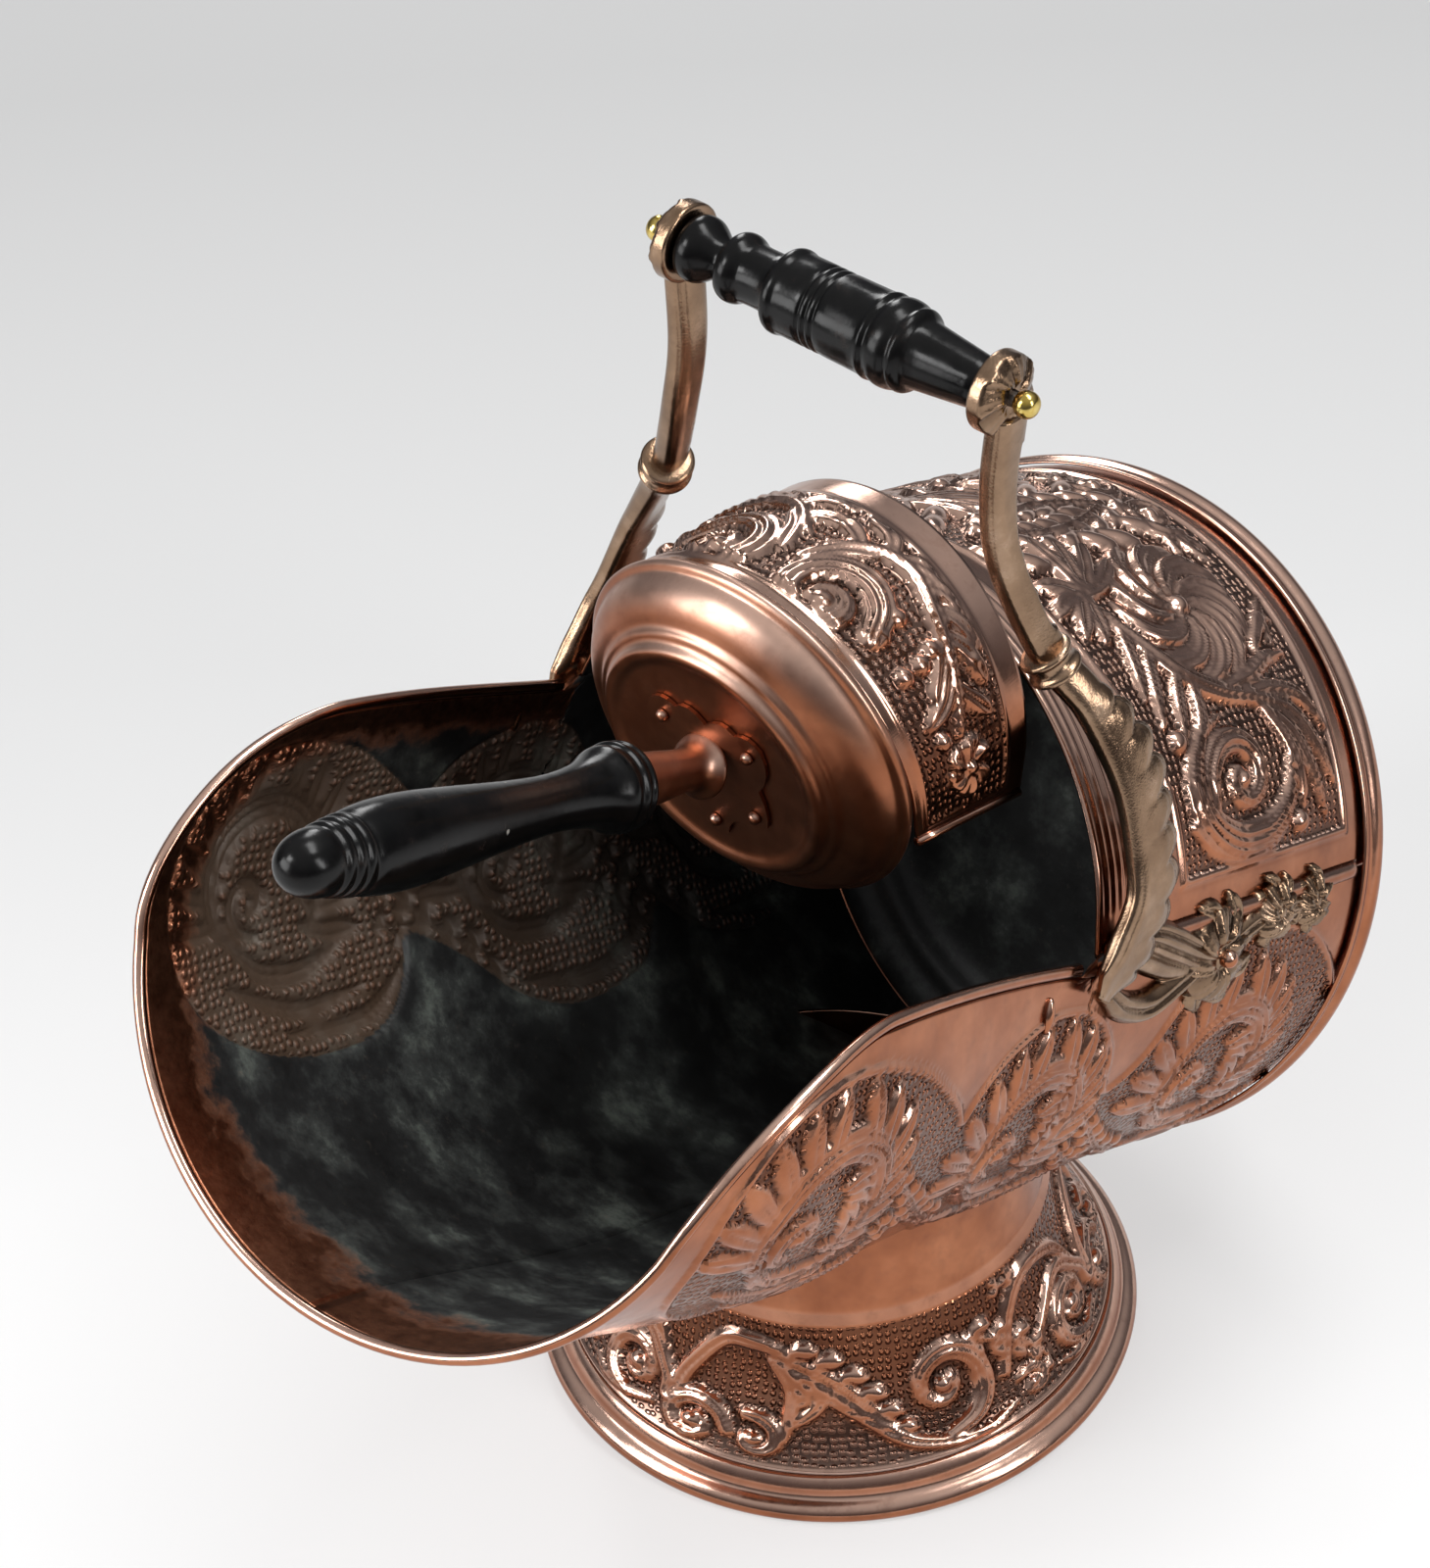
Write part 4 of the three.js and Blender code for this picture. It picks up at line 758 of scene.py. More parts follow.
def sooty_copper():
    """The inside of the sheet, black with burnt-on coal dust: a dull skin over copper, mottled grey
    where coal has scoured it, rubbed back to brown copper towards the lip and on the high beads."""
    made, tree = new_material("soot_blackened_copper")
    in_mm = in_millimetres(tree)
    lip = painted(tree, "lip")
    ground = painted(tree, "ground")
    cloud = put(tree, "TexNoise", Vector=in_mm, Scale=1 / 34, Detail=7.0, Roughness=0.68)
    grit = put(tree, "TexNoise", Vector=in_mm, Scale=1 / 5, Detail=6.0, Roughness=0.7)
    embossed = painted(tree, "embossed")
    soot = ramp(tree, cloud, (0.32, "#121212"), (0.48, "#232424"), (0.58, "#3D403E"),
                (0.7, "#6A716A"))
    speck = put(tree, "MapRange", Value=grit, From_Min=0.6, From_Max=0.78, To_Max=0.5)
    soot = put(tree, "MixRGB", Fac=speck, Color1=soot, Color2=linear("#5A5148"))
    # Hands and coal have rubbed the embossed places back to a dull bronze brown.
    handled = put(tree, "Math", {"operation": "MULTIPLY"}, i0=embossed, i1=0.62)
    soot = put(tree, "MixRGB", Fac=handled, Color1=soot, Color2=linear("#66503E"))
    ragged = put(tree, "Math", {"operation": "MULTIPLY_ADD"}, i0=cloud, i1=1.5, i2=-0.75)
    rubbed = put(tree, "Math", {"operation": "ADD"}, i0=lip, i1=ragged)
    bare = put(tree, "MapRange", {"interpolation_type": "SMOOTHSTEP"}, Value=rubbed,
               From_Min=0.28, From_Max=0.62)
    copper = ramp(tree, grit, (0.3, "#7A4B36"), (0.7, "#B77C5E"))
    colour = put(tree, "MixRGB", Fac=bare, Color1=soot, Color2=copper)
    metal = put(tree, "MapRange", Value=bare, To_Min=0.2, To_Max=1.0)
    rough = put(tree, "MapRange", Value=bare, To_Min=0.46, To_Max=0.3)
    smoother = put(tree, "Math", {"operation": "SUBTRACT"}, i0=rough, i1=0.1)
    rough = put(tree, "Math", {"operation": "MULTIPLY_ADD"}, i0=cloud, i1=0.22, i2=smoother)
    dome = punched_beads(tree, 3.9, 0.08, 0.5)
    raised = put(tree, "Math", {"operation": "MULTIPLY"}, i0=dome, i1=ground)
    worn = put(tree, "Math", {"operation": "MULTIPLY"}, i0=raised, i1=0.28)
    colour = put(tree, "MixRGB", Fac=worn, Color1=colour, Color2=linear("#A07058"))
    bumped = put(tree, "Bump", Height=grit, Strength=0.45, Distance=0.0004)
    bumped = put(tree, "Bump", Height=raised, Strength=1.0, Distance=0.0011, Normal=bumped)
    return surfaced(made, Base_Color=colour, Metallic=metal, Roughness=rough, Normal=bumped)


soot = sooty_copper()
for side, hand in both_sides:
    half = laid_sheet(132, 330, lambda across, along, hand=hand: lay_half(across, along, hand))
    outward_faces(half)
    half_sheet = piece("body_lower_embossed_" + side, half, [embossed_copper, soot],
                       stands_for=["body_lower"], into=barrel)
    walled(half_sheet, sheet_wall, inner=1)

# ---------------------------------------------------------------- mouth rim wire and side beads
# The mouth's edge is rolled over a copper wire from one arm round the lip to the other, and a
# short raised bead stands below it ahead of each arm.


def tube(course, radius, sides=12):
    """A round bar with closed ends along a course of points: a circle is extruded step by step and
    set square to the course. radius may be a function of the share of the course."""
    points = [Vector(p) for p in course]
    bm = bmesh.new()
    ring = bmesh.ops.create_circle(bm, cap_ends=True, segments=sides, radius=1.0)["verts"]
    flat = [vert.co.copy() for vert in ring]
    hint = Vector((0, 0, 1))
    for index, point in enumerate(points):
        ahead = (points[min(index + 1, len(points) - 1)] - points[max(index - 1, 0)]).normalized()
        across = ahead.cross(hint)
        if across.length < 1e-3:
            across = ahead.cross(Vector((1, 0, 0)))
        across.normalize()
        hint = across.cross(ahead).normalized()
        share = index / (len(points) - 1)
        size = radius(share) if callable(radius) else radius
        if index:
            edges = [edge for edge in bm.edges if all(vert in ring for vert in edge.verts)]
            made = bmesh.ops.extrude_edge_only(bm, edges=edges)["geom"]
            fresh = [item for item in made if isinstance(item, bmesh.types.BMVert)]
            matched = []
            for vert in ring:
                linked = [edge.other_vert(vert) for edge in vert.link_edges
                          if edge.other_vert(vert) in fresh]
                matched.append(linked[0])
            ring = matched
        for vert, place in zip(ring, flat):
            vert.co = point + (across * place.x + hint * place.y) * size
    bmesh.ops.contextual_create(bm, geom=list(ring))
    bmesh.ops.recalc_face_normals(bm, faces=bm.faces)
    return bm


wire_start = hood_length + 11
side_stations = np.linspace(wire_start, corner_station, 14, endpoint=False)
side_course = on_barrel(side_stations, edge_angle(side_stations),
                        skin(side_stations, edge_angle(side_stations)) - sheet_wall / 2)
front_angles = corner_angle * np.sin(np.linspace(math.pi / 2, -math.pi / 2, 120))
front_stations = mouth_station(front_angles)
front_course = on_barrel(front_stations, front_angles,
                         skin(front_stations, front_angles) - sheet_wall / 2)
other_side = side_course[::-1] * np.array([-1, 1, 1])
rim_course = np.vstack([side_course, front_course, other_side])
piece("mouth_rim_rolled", tube(rim_course, rim_radius, 14), plain_copper,
      stands_for=["mouth_rim_wire"], into=barrel)

bead_station = wire_start + 19
for name, hand in (("side_bead_right", 1), ("side_bead_left", -1)):
    bead_angles = np.radians(np.linspace(100, 94, 9)) * hand
    bead_course = on_barrel(np.full(9, float(bead_station)), bead_angles,
                            skin(np.full(9, float(bead_station)), bead_angles) + 0.4)
    piece(name + "_raised", tube(bead_course, lambda t: 0.9 + 1.5 * math.sin(math.pi * t), 12),
          plain_copper, stands_for=[name], into=barrel)

# ---------------------------------------------------------------- hood
# The upper half of the barrel: raised copper with five reeds round its front edge and one framed
# panel, where acanthus swirls, scrolls and a turning rosette stand over the beaded ground.
panel_back = 21
panel_foot = 166.5
reed_width = 22
reed_count = 5
panel_front = [(131, 166.5), (132, 130), (136, 115), (140, 100), (145, 78), (149, 55), (151, 30),
               (152, 0)]


def hood_relief(u, v):
    relief = Relief(u, v)
    relief.whirl((75, 61), 37, 4.6, 9, turn=72, ribs=3)
    # The long stem that falls from the leaf bunch, past the rosette, and its strands.
    relief.stroke([(124, 50), (114, 70), (100, 88), (82, 99), (62, 105), (44, 112)], 5.2, 4.0,
                  ribs=3,
                  root=0.6, tip=0.5)
    for strand in (((84, 98), (62, 97), (44, 92), (30, 92)), ((74, 102), (50, 104), (34, 110),
                                                              (24, 124)),
                   ((68, 104), (46, 112), (34, 128), (26, 146)), ((64, 106), (48, 120), (40, 138),
                                                                  (34, 158)),
                   ((62, 107), (52, 122), (48, 138), (48, 152))):
        relief.stroke(strand, 4.6, 3.6, ribs=3, tip=0.25, root=0.5, belly=0.5)
    relief.boss((52, 157), 4.8, 3.8)
    for strand in (((118, 62), (124, 80), (128, 94)), ((112, 74), (120, 92), (124, 106)),
                   ((102, 86), (110, 100), (114, 114)), ((96, 90), (100, 106), (108, 118))):
        relief.stroke(strand, 4.4, 3.6, ribs=2, tip=0.35, root=0.5)
    relief.boss((119, 113), 5.0, 3.6)
    # The broad volute: a ribbed crescent whose inner ribs wind in to a round eye.
    relief.stroke([(90, 108), (106, 114), (116, 130), (112, 146), (96, 157), (74, 157), (58, 146),
                   (52, 130)], 9.0, 4.6, ribs=5, tip=0.2, root=0.2, belly=0.52)
    relief.scroll((86, 134), 4.4, 23, -73, 1.25, 4.4, ribs=3, half=6.5)
    relief.stroke([(122, 146), (110, 158), (92, 163), (72, 162)], 3.2, 2.8, ribs=2)
    # The leaf bunch above the stem, with round buds.
    for tip_at in ((130, 66), (139, 62), (144, 50), (140, 36)):
        relief.stroke([(122, 46), ((122 + tip_at[0]) / 2, (46 + tip_at[1]) / 2 - 2), tip_at], 5.4,
                      3.8,
                      ribs=2, belly=0.74, tip=0.6)
    for tip_at, bend_at in (((92, 34), (106, 42)), ((96, 22), (108, 34)), ((106, 14), (114, 30)),
                            ((118, 10), (120, 28))):
        relief.stroke([(122, 46), bend_at, tip_at], 5.6, 4.0, ribs=2, belly=0.76, tip=0.75)
    # The garland that crosses the crown, from the back edge to the reeds.
    relief.leaf([(38, -6), (62, 4), (88, 10), (112, 8), (138, -4)], 8.0, 4.2, pairs=8, fork=36,
                ribs=3)
    for bud in ((52, 17), (70, 22), (84, 20), (132, 22), (144, 14)):
        relief.stroke([(bud[0] + 9, bud[1] - 7), bud, (bud[0] - 6, bud[1] + 5)], 5.4, 4.2,
                      belly=0.7,
                      tip=0.7, root=0.35)
    relief.scroll((36, 14), 4.5, 15, 60, 1.1, 4.4, ribs=3, half=6.0)
    for tip_at in ((28, 40), (34, 46), (46, 40)):
        relief.stroke([(42, 22), ((42 + tip_at[0]) / 2, (22 + tip_at[1]) / 2), tip_at], 3.6, 3.0,
                      ribs=2)
    for tip_at in ((24, 66), (26, 78), (34, 88)):
        relief.stroke([(46, 86), (34, 76), tip_at], 3.8, 3.0, ribs=2)
    return relief.height


def lay_hood(across, along):
    lowest_turn = seam_angle + 0.002
    angle = lowest_turn + across * 2 * (math.pi - lowest_turn)
    station = 1.5 + (hood_length - 1.5) * along
    from_top = np.abs(math.pi - angle) * back_radius
    front = np.interp(from_top, [v for _, v in panel_front[::-1]],
                      [u for u, _ in panel_front[::-1]])
    in_panel = (station > panel_back) & (station < front) & (from_top < panel_foot)
    margin = np.minimum(np.minimum(station - panel_back, front - station), panel_foot - from_top)
    height = hood_relief(station, from_top) * np.clip(margin / 2.5, 0, 1)
    ground = in_panel & (height < 0.35) & (margin > 2.6)
    height = np.where(in_panel, height, 0)
    height = np.maximum(height, 1.5 * np.exp(-(margin / 1.6) ** 2) * (from_top < 169))
    reed_from = hood_length - reed_width
    wave = np.sin((station - reed_from) / reed_width * reed_count * math.pi) ** 2
    fade = np.clip((183.4 - from_top) / 22 - 0.5, 0, 1)
    height += np.where(station > reed_from, 1.3 * wave * fade, 0)
    points = on_barrel(station, angle, skin(station, angle) + height)
    signed = (angle - math.pi) * back_radius
    values = {"recess": hollows(height, 3), "ground": ground * 1.0}
    return points, np.stack([station, signed], -1), values


hood = laid_sheet(300, 162, lay_hood)
outward_faces(hood)
hood_sheet = piece("hood_embossed", hood, [embossed_copper, soot], stands_for=["hood"], into=barrel)
walled(hood_sheet, sheet_wall, inner=1)

# ---------------------------------------------------------------- seam beads
# A rounded copper strip is soldered over each joint between the body and the hood.
for name, hand in (("seam_bead_right", 1), ("seam_bead_left", -1)):
    def lay_seam(across, along, hand=hand):
        station = 12 + 169 * along
        ends = np.clip(np.minimum(station - 12, 181 - station) / 4, 0, 1) ** 0.5
        offset = (across - 0.5) * 7
        angle = seam_angle + offset / back_radius
        rise = 0.4 + 3.0 * np.sqrt(np.clip(1 - (offset / 3.5) ** 2, 0, 1)) * ends
        points = on_barrel(station, angle * hand, skin(station, angle) + rise)
        # Painted shade: the strip's colour darkens towards its two edges, where it meets the body.
        return points, np.stack([station, offset], -1), {"recess": np.abs(offset) / 3.5 * 0.5}

    strip = laid_sheet(12, 60, lay_seam)
    outward_faces(strip)
    strip_piece = piece(name + "_soldered", strip, embossed_copper, stands_for=[name], into=barrel)
    walled(strip_piece, 0.4)

# ---------------------------------------------------------------- back ring and back dish
# A rolled ring clasps the barrel's back end, which a stepped and dished copper disc closes.
about_barrel = barrel @ Matrix.Rotation(math.pi / 2, 4, "X")
ring_bore = back_radius + 1.0
ring_line = [(ring_bore, 9), (ring_bore + 0.9, 9.2), (ring_bore + 1.9, 8.4), (ring_bore + 2.0, 7),
             (ring_bore + 1.3, 5.4), (ring_bore + 1.1, 4.0), (ring_bore + 2.2, 2.4),
             (ring_bore + 3.0, 0.6), (ring_bore + 3.1, -1.4), (ring_bore + 2.4, -3.6),
             (ring_bore + 1.0, -5.2), (ring_bore, -5.6)]
piece("back_ring_rolled", turned(ring_line + [ring_line[0]], 128), plain_copper,
      stands_for=["back_ring"], subdivisions=1, into=about_barrel)
dish_line = [(0, -17), (40, -17), (62, -17), (82, -16.8), (98, -15.8), (104, -15), (108.5, -13.8),
             (111.4, -11.8), (114.5, -11.2), (118, -10.2), (120.5, -8.6), (123, -5.6), (125.5, -4),
             (129.5, -1.8), (134, -1.2), (138, -0.8)]
dish_inside = [(r, s + sheet_wall) for r, s in dish_line]
dish = turned(dish_line + dish_inside[::-1], 96)
dish.normal_update()
for face in dish.faces:
    # The inside, which faces the mouth, is as black as the barrel's.
    face.material_index = int(face.normal.z > -0.3)
piece("back_dish_spun", dish, [plain_copper, soot], stands_for=["back_dish"], subdivisions=1,
      into=about_barrel)

# ---------------------------------------------------------------- shovel: end disc
# The shovel's back is one spun copper disc: a beaded rim, a round shoulder, fine steps and a
# raised flat for the plate.
disc_middle = (-1.3, foot_y / MM - 35.0, 340.2)
shovel = (Matrix.Scale(MM, 4) @ Matrix.Translation(disc_middle)
          @ Matrix.Rotation(math.radians(1.4), 4, "Z") @ Matrix.Rotation(math.radians(4.9), 4, "X"))
# An outline's height runs along the shovel, towards the pan's mouth.
along_shovel = shovel @ Matrix.Rotation(-math.pi / 2, 4, "X")
disc_front = [(0, -21.6), (20, -21.6), (42, -21.6), (44.2, -21.7), (46, -23), (48.4, -23.7),
              (50.6, -23), (51.6, -21.2), (52.4, -19.9), (54, -19.2), (55.6, -18.7), (56.6, -17),
              (58.2, -16.2), (60.4, -15.4), (63.4, -14), (66.8, -11.6), (69.4, -8.6), (70.8, -5.6),
              (71.4, -3.6), (72.2, -2.8), (73.6, -2.4), (75, -1.2), (75, 0.4), (74.2, 2.2),
              (72.4, 3.2)]
disc_back = [(70, 3.2), (69.6, -1), (69.2, -6), (66.4, -9.8), (61, -13.2), (56, -15), (51, -17.6),
             (46.6, -21), (43.6, -20.2), (20, -20.2), (0, -20.2)]
piece("shovel_disc_spun", turned(disc_front + disc_back, 96), satin_copper, body="shovel",
      stands_for=["shovel_end_disc"], subdivisions=1, into=along_shovel)

# ---------------------------------------------------------------- shovel: pan
# An arched copper sheet, embossed with a pair of scrolls and leafy stems over a beaded ground,
# that slopes from the disc to its plain mouth.
# The pan is turned a little on the disc and leans down from it.
pan_turn = (Matrix.Rotation(math.radians(-4.4), 3, "Z") @ Matrix.Rotation(math.radians(-15), 3,
                                                                          "X"))
pan = shovel @ Matrix.Translation((0, 0, -4)) @ pan_turn.to_4x4()
pan_length = 67.5
pan_drop = 12.9
disc_face = 3.5
top_line = 117


def pan_start(x, z):
    """Where the pan's sheet meets the back of the disc, along the pan's own length."""
    return (disc_face - pan_turn[1][0] * x - pan_turn[1][2] * z) / pan_turn[1][1]


def pan_relief(u, v):
    relief = Relief(u, v)
    relief.scroll((13, 92), 4.6, 21, 100, -1.5, 4.2, ribs=4, half=7.5)
    relief.stroke([(34, 112), (44, 98), (47, 84), (43, 68), (39, 52), (35, 38), (31, 24)], 4.0, 3.6,
                  ribs=3, tip=0.5)
    for root_at, bend_at, tip_at in (
            ((45, 92), (51, 86), (54, 76)), ((46, 80), (51, 74), (54, 64)),
            ((43, 70), (49, 62), (53, 50)),
            ((41, 60), (47, 50), (50, 38)), ((39, 56), (31, 46), (24, 38)),
            ((37, 48), (29, 38), (18, 32)),
            ((35, 42), (41, 34), (48, 26)), ((41, 98), (34, 106), (22, 113)),
            ((46, 94), (52, 101), (54, 112)), ((40, 102), (44, 110), (46, 118))):
        relief.stroke([root_at, bend_at, tip_at], 4.6, 3.2, ribs=2, belly=0.72, tip=0.5)
    for berry in ((18, 53), (27, 54), (34, 57), (20, 70), (30, 73), (48, 46), (22, 24)):
        relief.boss(berry, 4.2, 3.2)
    relief.whirl((33, 9), 13, 3.6, 6, turn=20, ribs=2, hub=0.26)
    return relief.height


def lay_pan(across, along):
    # v is the arc up the side, and is turned into the arc from the top line for the pattern.
    radius = 73.4 + 2.6 * along
    arc = math.pi * radius
    around = across * (arc + 2 * pan_drop) - pan_drop
    from_top = np.abs(around - arc / 2)
    slope = 4.0
    height = pan_relief(along * pan_length, top_line - from_top)
    u = along * pan_length
    margin = np.minimum(np.minimum(u - 6.5, 55.5 - u), arc / 2 + pan_drop - slope - from_top)
    height = height * np.clip(margin / 2.5, 0, 1)
    ground = (margin > 0.8) & (height < 0.35)
    height = np.maximum(height, 0.9 * np.exp(-(margin / 1.2) ** 2))
    angle = np.clip(around, 0, arc) / radius
    below = np.where(around < 0, around, np.where(around > arc, arc - around, 0))
    full = radius + height
    x, z = full * np.cos(angle), full * np.sin(angle) + below
    y0 = pan_start(x, z)
    points = np.stack([x, y0 + (pan_length - y0) * along, z], -1)
    values = {"recess": hollows(height, 2), "ground": ground * 1.0}
    return points, np.stack([u, around], -1), values


pan_sheet = laid_sheet(250, 64, lay_pan)
outward_faces(pan_sheet)
pan_piece = piece("shovel_pan_embossed", pan_sheet, embossed_copper, body="shovel",
                  stands_for=["shovel_pan"], into=pan)
walled(pan_piece, sheet_wall)
for name, hand in (("shovel_edge_bead_right", 1), ("shovel_edge_bead_left", -1)):
    x = hand * 72.7
    z = 1.9 - 17
    start = pan_start(x, z) + 0.3
    bead_course = [(x + hand * 2.6 * t, start + (pan_length - start) * t, z) for t in np.linspace(0,
                                                                                                  1, 6)]
    piece(name + "_rolled", tube(bead_course, 1.9, 12), plain_copper, body="shovel",
          stands_for=[name], into=pan)

# ---------------------------------------------------------------- shovel: plate and rivets
# A cartouche of sheet copper with a waved edge spreads the handle's pull, held by five rivets.
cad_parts["shovel_plate"].data.materials.clear()
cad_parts["shovel_plate"].data.materials.append(satin_copper)
rivet_places = {"upper_left": (-20, 14.5), "upper_right": (20, 14.5), "lower_left": (-20, -16.5),
                "lower_right": (20, -16.5), "bottom": (0, -29)}
plate_face = -23.4
for where, (x, z) in rivet_places.items():
    head = turned([(0, -3.2), (1.0, -3.1), (2.0, -2.6), (2.6, -1.6), (2.7, -0.4), (2.6, -0.2),
                   (1.2, -0.2),
                   (1.2, 1.2), (0, 1.2)], 20)
    spot = along_shovel @ Matrix.Translation((x, -z, plate_face))
    piece("shovel_rivet_" + where + "_head", head, satin_copper, body="shovel",
          stands_for=["shovel_rivet_" + where], subdivisions=1, into=spot)

# ---------------------------------------------------------------- shovel: socket and wood handle
# A tapered copper socket is soldered to the plate and takes the tenon of a turned, ebonised
# beech handle.
handle_root = -23.7
out_along = (shovel @ Matrix.Translation((0, handle_root, 0)) @ Matrix.Rotation(math.radians(-31.2),
                                                                                4, "X")
             @ Matrix.Rotation(math.pi / 2, 4, "X"))
socket_outline = [(0, 5), (13, 5), (12.6, 6.5), (10.6, 8.2), (8.8, 10.4), (7.8, 13.5), (8.1, 18),
                  (9.6, 32), (10.9, 46), (11.6, 48.6), (11.6, 50), (10, 50), (9.6, 44), (0, 44)]


def ebonised_wood():
    """Turned beech, stained black and polished: a deep black with a clear gloss, brown where the
    stain has worn, and pale chips where the wood was knocked."""
    made, tree = new_material("ebonised_beech")
    in_mm = in_millimetres(tree)
    wear = put(tree, "TexNoise", Vector=in_mm, Scale=1 / 14, Detail=6.0, Roughness=0.7)
    fine = put(tree, "TexNoise", Vector=in_mm, Scale=1 / 2.2, Detail=3.0, Roughness=0.6)
    stain = ramp(tree, wear, (0.35, "#050505"), (0.6, "#0A0909"), (0.72, "#1E1612"))
    chip = put(tree, "TexVoronoi", {"feature": "F1"}, Vector=in_mm, Scale=1 / 26, Randomness=1.0)
    edge = put(tree, "Math", {"operation": "MULTIPLY_ADD"}, i0=fine, i1=0.1, i2=chip)
    bare = put(tree, "MapRange", Value=edge, From_Min=0.085, From_Max=0.095, To_Min=1.0,
               To_Max=0.0)
    chipped = put(tree, "MixRGB", Fac=bare, Color1=stain, Color2=linear("#8B8780"))
    rough = put(tree, "MapRange", Value=wear, From_Min=0.3, From_Max=0.75, To_Min=0.12,
                To_Max=0.32)
    rough = put(tree, "Math", {"operation": "MULTIPLY_ADD"}, i0=bare, i1=0.4,
                i2=rough)
    bumped = put(tree, "Bump", Height=wear, Strength=0.35, Distance=0.0004)
    bumped = put(tree, "Bump", Height=bare, Strength=0.8, Distance=0.0005,
                 Normal=bumped)
    shader = put(tree, "BsdfPrincipled", Base_Color=chipped, Roughness=rough,
                 Specular_IOR_Level=0.2, Normal=bumped)
    put(tree, "OutputMaterial", Surface=shader)
    return made


ebonised = ebonised_wood()
piece("shovel_socket_seamed", turned(socket_outline, 40), satin_copper, body="shovel",
      stands_for=["shovel_socket"], subdivisions=1, into=out_along)
wood_start = 50.3
handle_outline = [(0, -9), (9, -9), (9, -0.2), (14.6, 0), (15.6, 1.2), (16.8, 2.6), (16.4, 3.8),
                  (15.7, 4.8), (16.4, 5.8), (17.2, 7.2), (16.6, 8.6), (15.7, 9.6), (16, 10.8),
                  (16.3, 12.6),
                  (15.6, 15), (14, 18.4), (12.4, 23), (11.2, 30), (10.3, 42), (10.8, 58), (13, 82),
                  (15.6, 108), (16.8, 126), (16.5, 140), (15.4, 149), (14.7, 152.2), (14, 153.4),
                  (14.5, 154.8), (14.6, 156), (14.2, 157.2), (13.5, 158.2), (13.9, 159.4),
                  (14, 160.6),
                  (13.5, 161.8), (12.7, 162.8), (13.1, 164), (13.2, 165.4), (12.7, 166.6),
                  (11.9, 167.6), (12.1, 169.4), (12.2, 171.6), (11.6, 175), (10.4, 179),
                  (8.2, 182.6), (4.8, 185.2), (0, 186)]
piece("shovel_handle_turned", turned([(r, out + wood_start) for r, out in handle_outline], 40),
      ebonised, body="shovel", stands_for=["shovel_handle"], subdivisions=1,
      into=out_along)

# ---------------------------------------------------------------- carrying grip
# A turned, ebonised beech grip, not the same at its two ends, threaded on the iron rod.
grip_low, grip_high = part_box("grip")
grip_axis = Matrix.Translation(((grip_low.x + grip_high.x) / 2, (grip_low.y + grip_high.y) / 2,
                                (grip_low.z + grip_high.z) / 2))
grip_half = (grip_high.x - grip_low.x) / 2 / MM
along_grip = grip_axis @ Matrix.Rotation(math.pi / 2, 4, "Y") @ Matrix.Scale(MM, 4)
grip_bore = 3.5
grip_outline = [(grip_bore, 0), (10.6, 0), (11.8, 0.6), (12.6, 2.4), (12.9, 5), (12.4, 7.6),
                (10.6, 10.4), (8.6, 13),
                (7.1, 15.4), (7.0, 17.2), (7.6, 18.6), (10.6, 19.2), (12.6, 20.4), (13.5, 22.6),
                (13.5, 25.2),
                (12.6, 27.4), (11.4, 28.8), (11.1, 31), (11.2, 40.6), (11.6, 42.4), (13.4, 43.4),
                (15.6, 44.6), (16.5, 46.2), (16.4, 48.4), (15.7, 49.6), (15.6, 51.2), (15.8, 60.8),
                (15.6, 61.6),
                (14.9, 62.2), (15.6, 62.8), (15.8, 63.6), (15.6, 64.8), (14.9, 65.4), (15.6, 66),
                (15.8, 67), (15.6, 68.2), (14.9, 68.8), (15.6, 69.4), (15.8, 70.6), (15.9, 87.4),
                (16.2, 88.6), (16.8, 89.8), (16.4, 91), (15.6, 92), (16.2, 93.2), (16.9, 94.8),
                (16.9, 98),
                (16.4, 100.4), (15.2, 102), (15.9, 103.2), (15.9, 104.6), (14.6, 106.2),
                (12.9, 107.4),
                (12.6, 109), (9.5, 137.4), (9.1, 138.2), (grip_bore, 138.2)]
piece("grip_turned", turned([(r, t - grip_half) for r, t in grip_outline] + [(grip_bore,
                                                                              -grip_half)], 48),
      ebonised, body="grip", stands_for=["grip"], subdivisions=1,
      into=along_grip)

# ---------------------------------------------------------------- arms: cast shafts
# Two bronze castings carry the grip: a bevelled shaft with a chain of notches at its back edge, a
# double collar, and below it an acanthus leaf whose point laps the rim.


def cast_bronze():
    """Brassy bronze from a sand mould, filed and polished: pale on the high places, brown and a little
    grainy in the hollows, where patina and painted shade darken it."""
    made, tree = new_material("cast_bronze_polished")
    in_mm = in_millimetres(tree)
    recess = painted(tree, "recess")
    tint = put(tree, "TexNoise", Vector=in_mm, Scale=1 / 16, Detail=5.0, Roughness=0.6)
    colour = ramp(tree, tint, (0.3, "#78604D"), (0.55, "#8F755F"), (0.75, "#AA8F79"))
    # Painted shade and patina: the hollows are darkened to a deep brown.
    sunk = put(tree, "Math", {"operation": "MULTIPLY", "use_clamp": True}, i0=recess, i1=0.85)
    colour = put(tree, "MixRGB", Fac=sunk, Color1=colour, Color2=linear("#33261D"))
    rough = put(tree, "MapRange", Value=tint, From_Min=0.3, From_Max=0.75, To_Min=0.16,
                To_Max=0.3)
    # The sand's grain is about 0.8 mm.
    grain = put(tree, "TexNoise", Vector=in_mm, Scale=1 / 0.9, Detail=2.0)
    bumped = put(tree, "Bump", Height=grain, Strength=0.3, Distance=0.0003)
    shader = put(tree, "BsdfPrincipled", Base_Color=colour, Metallic=1.0,
                 Roughness=rough, Normal=bumped)
    put(tree, "OutputMaterial", Surface=shader)
    return made


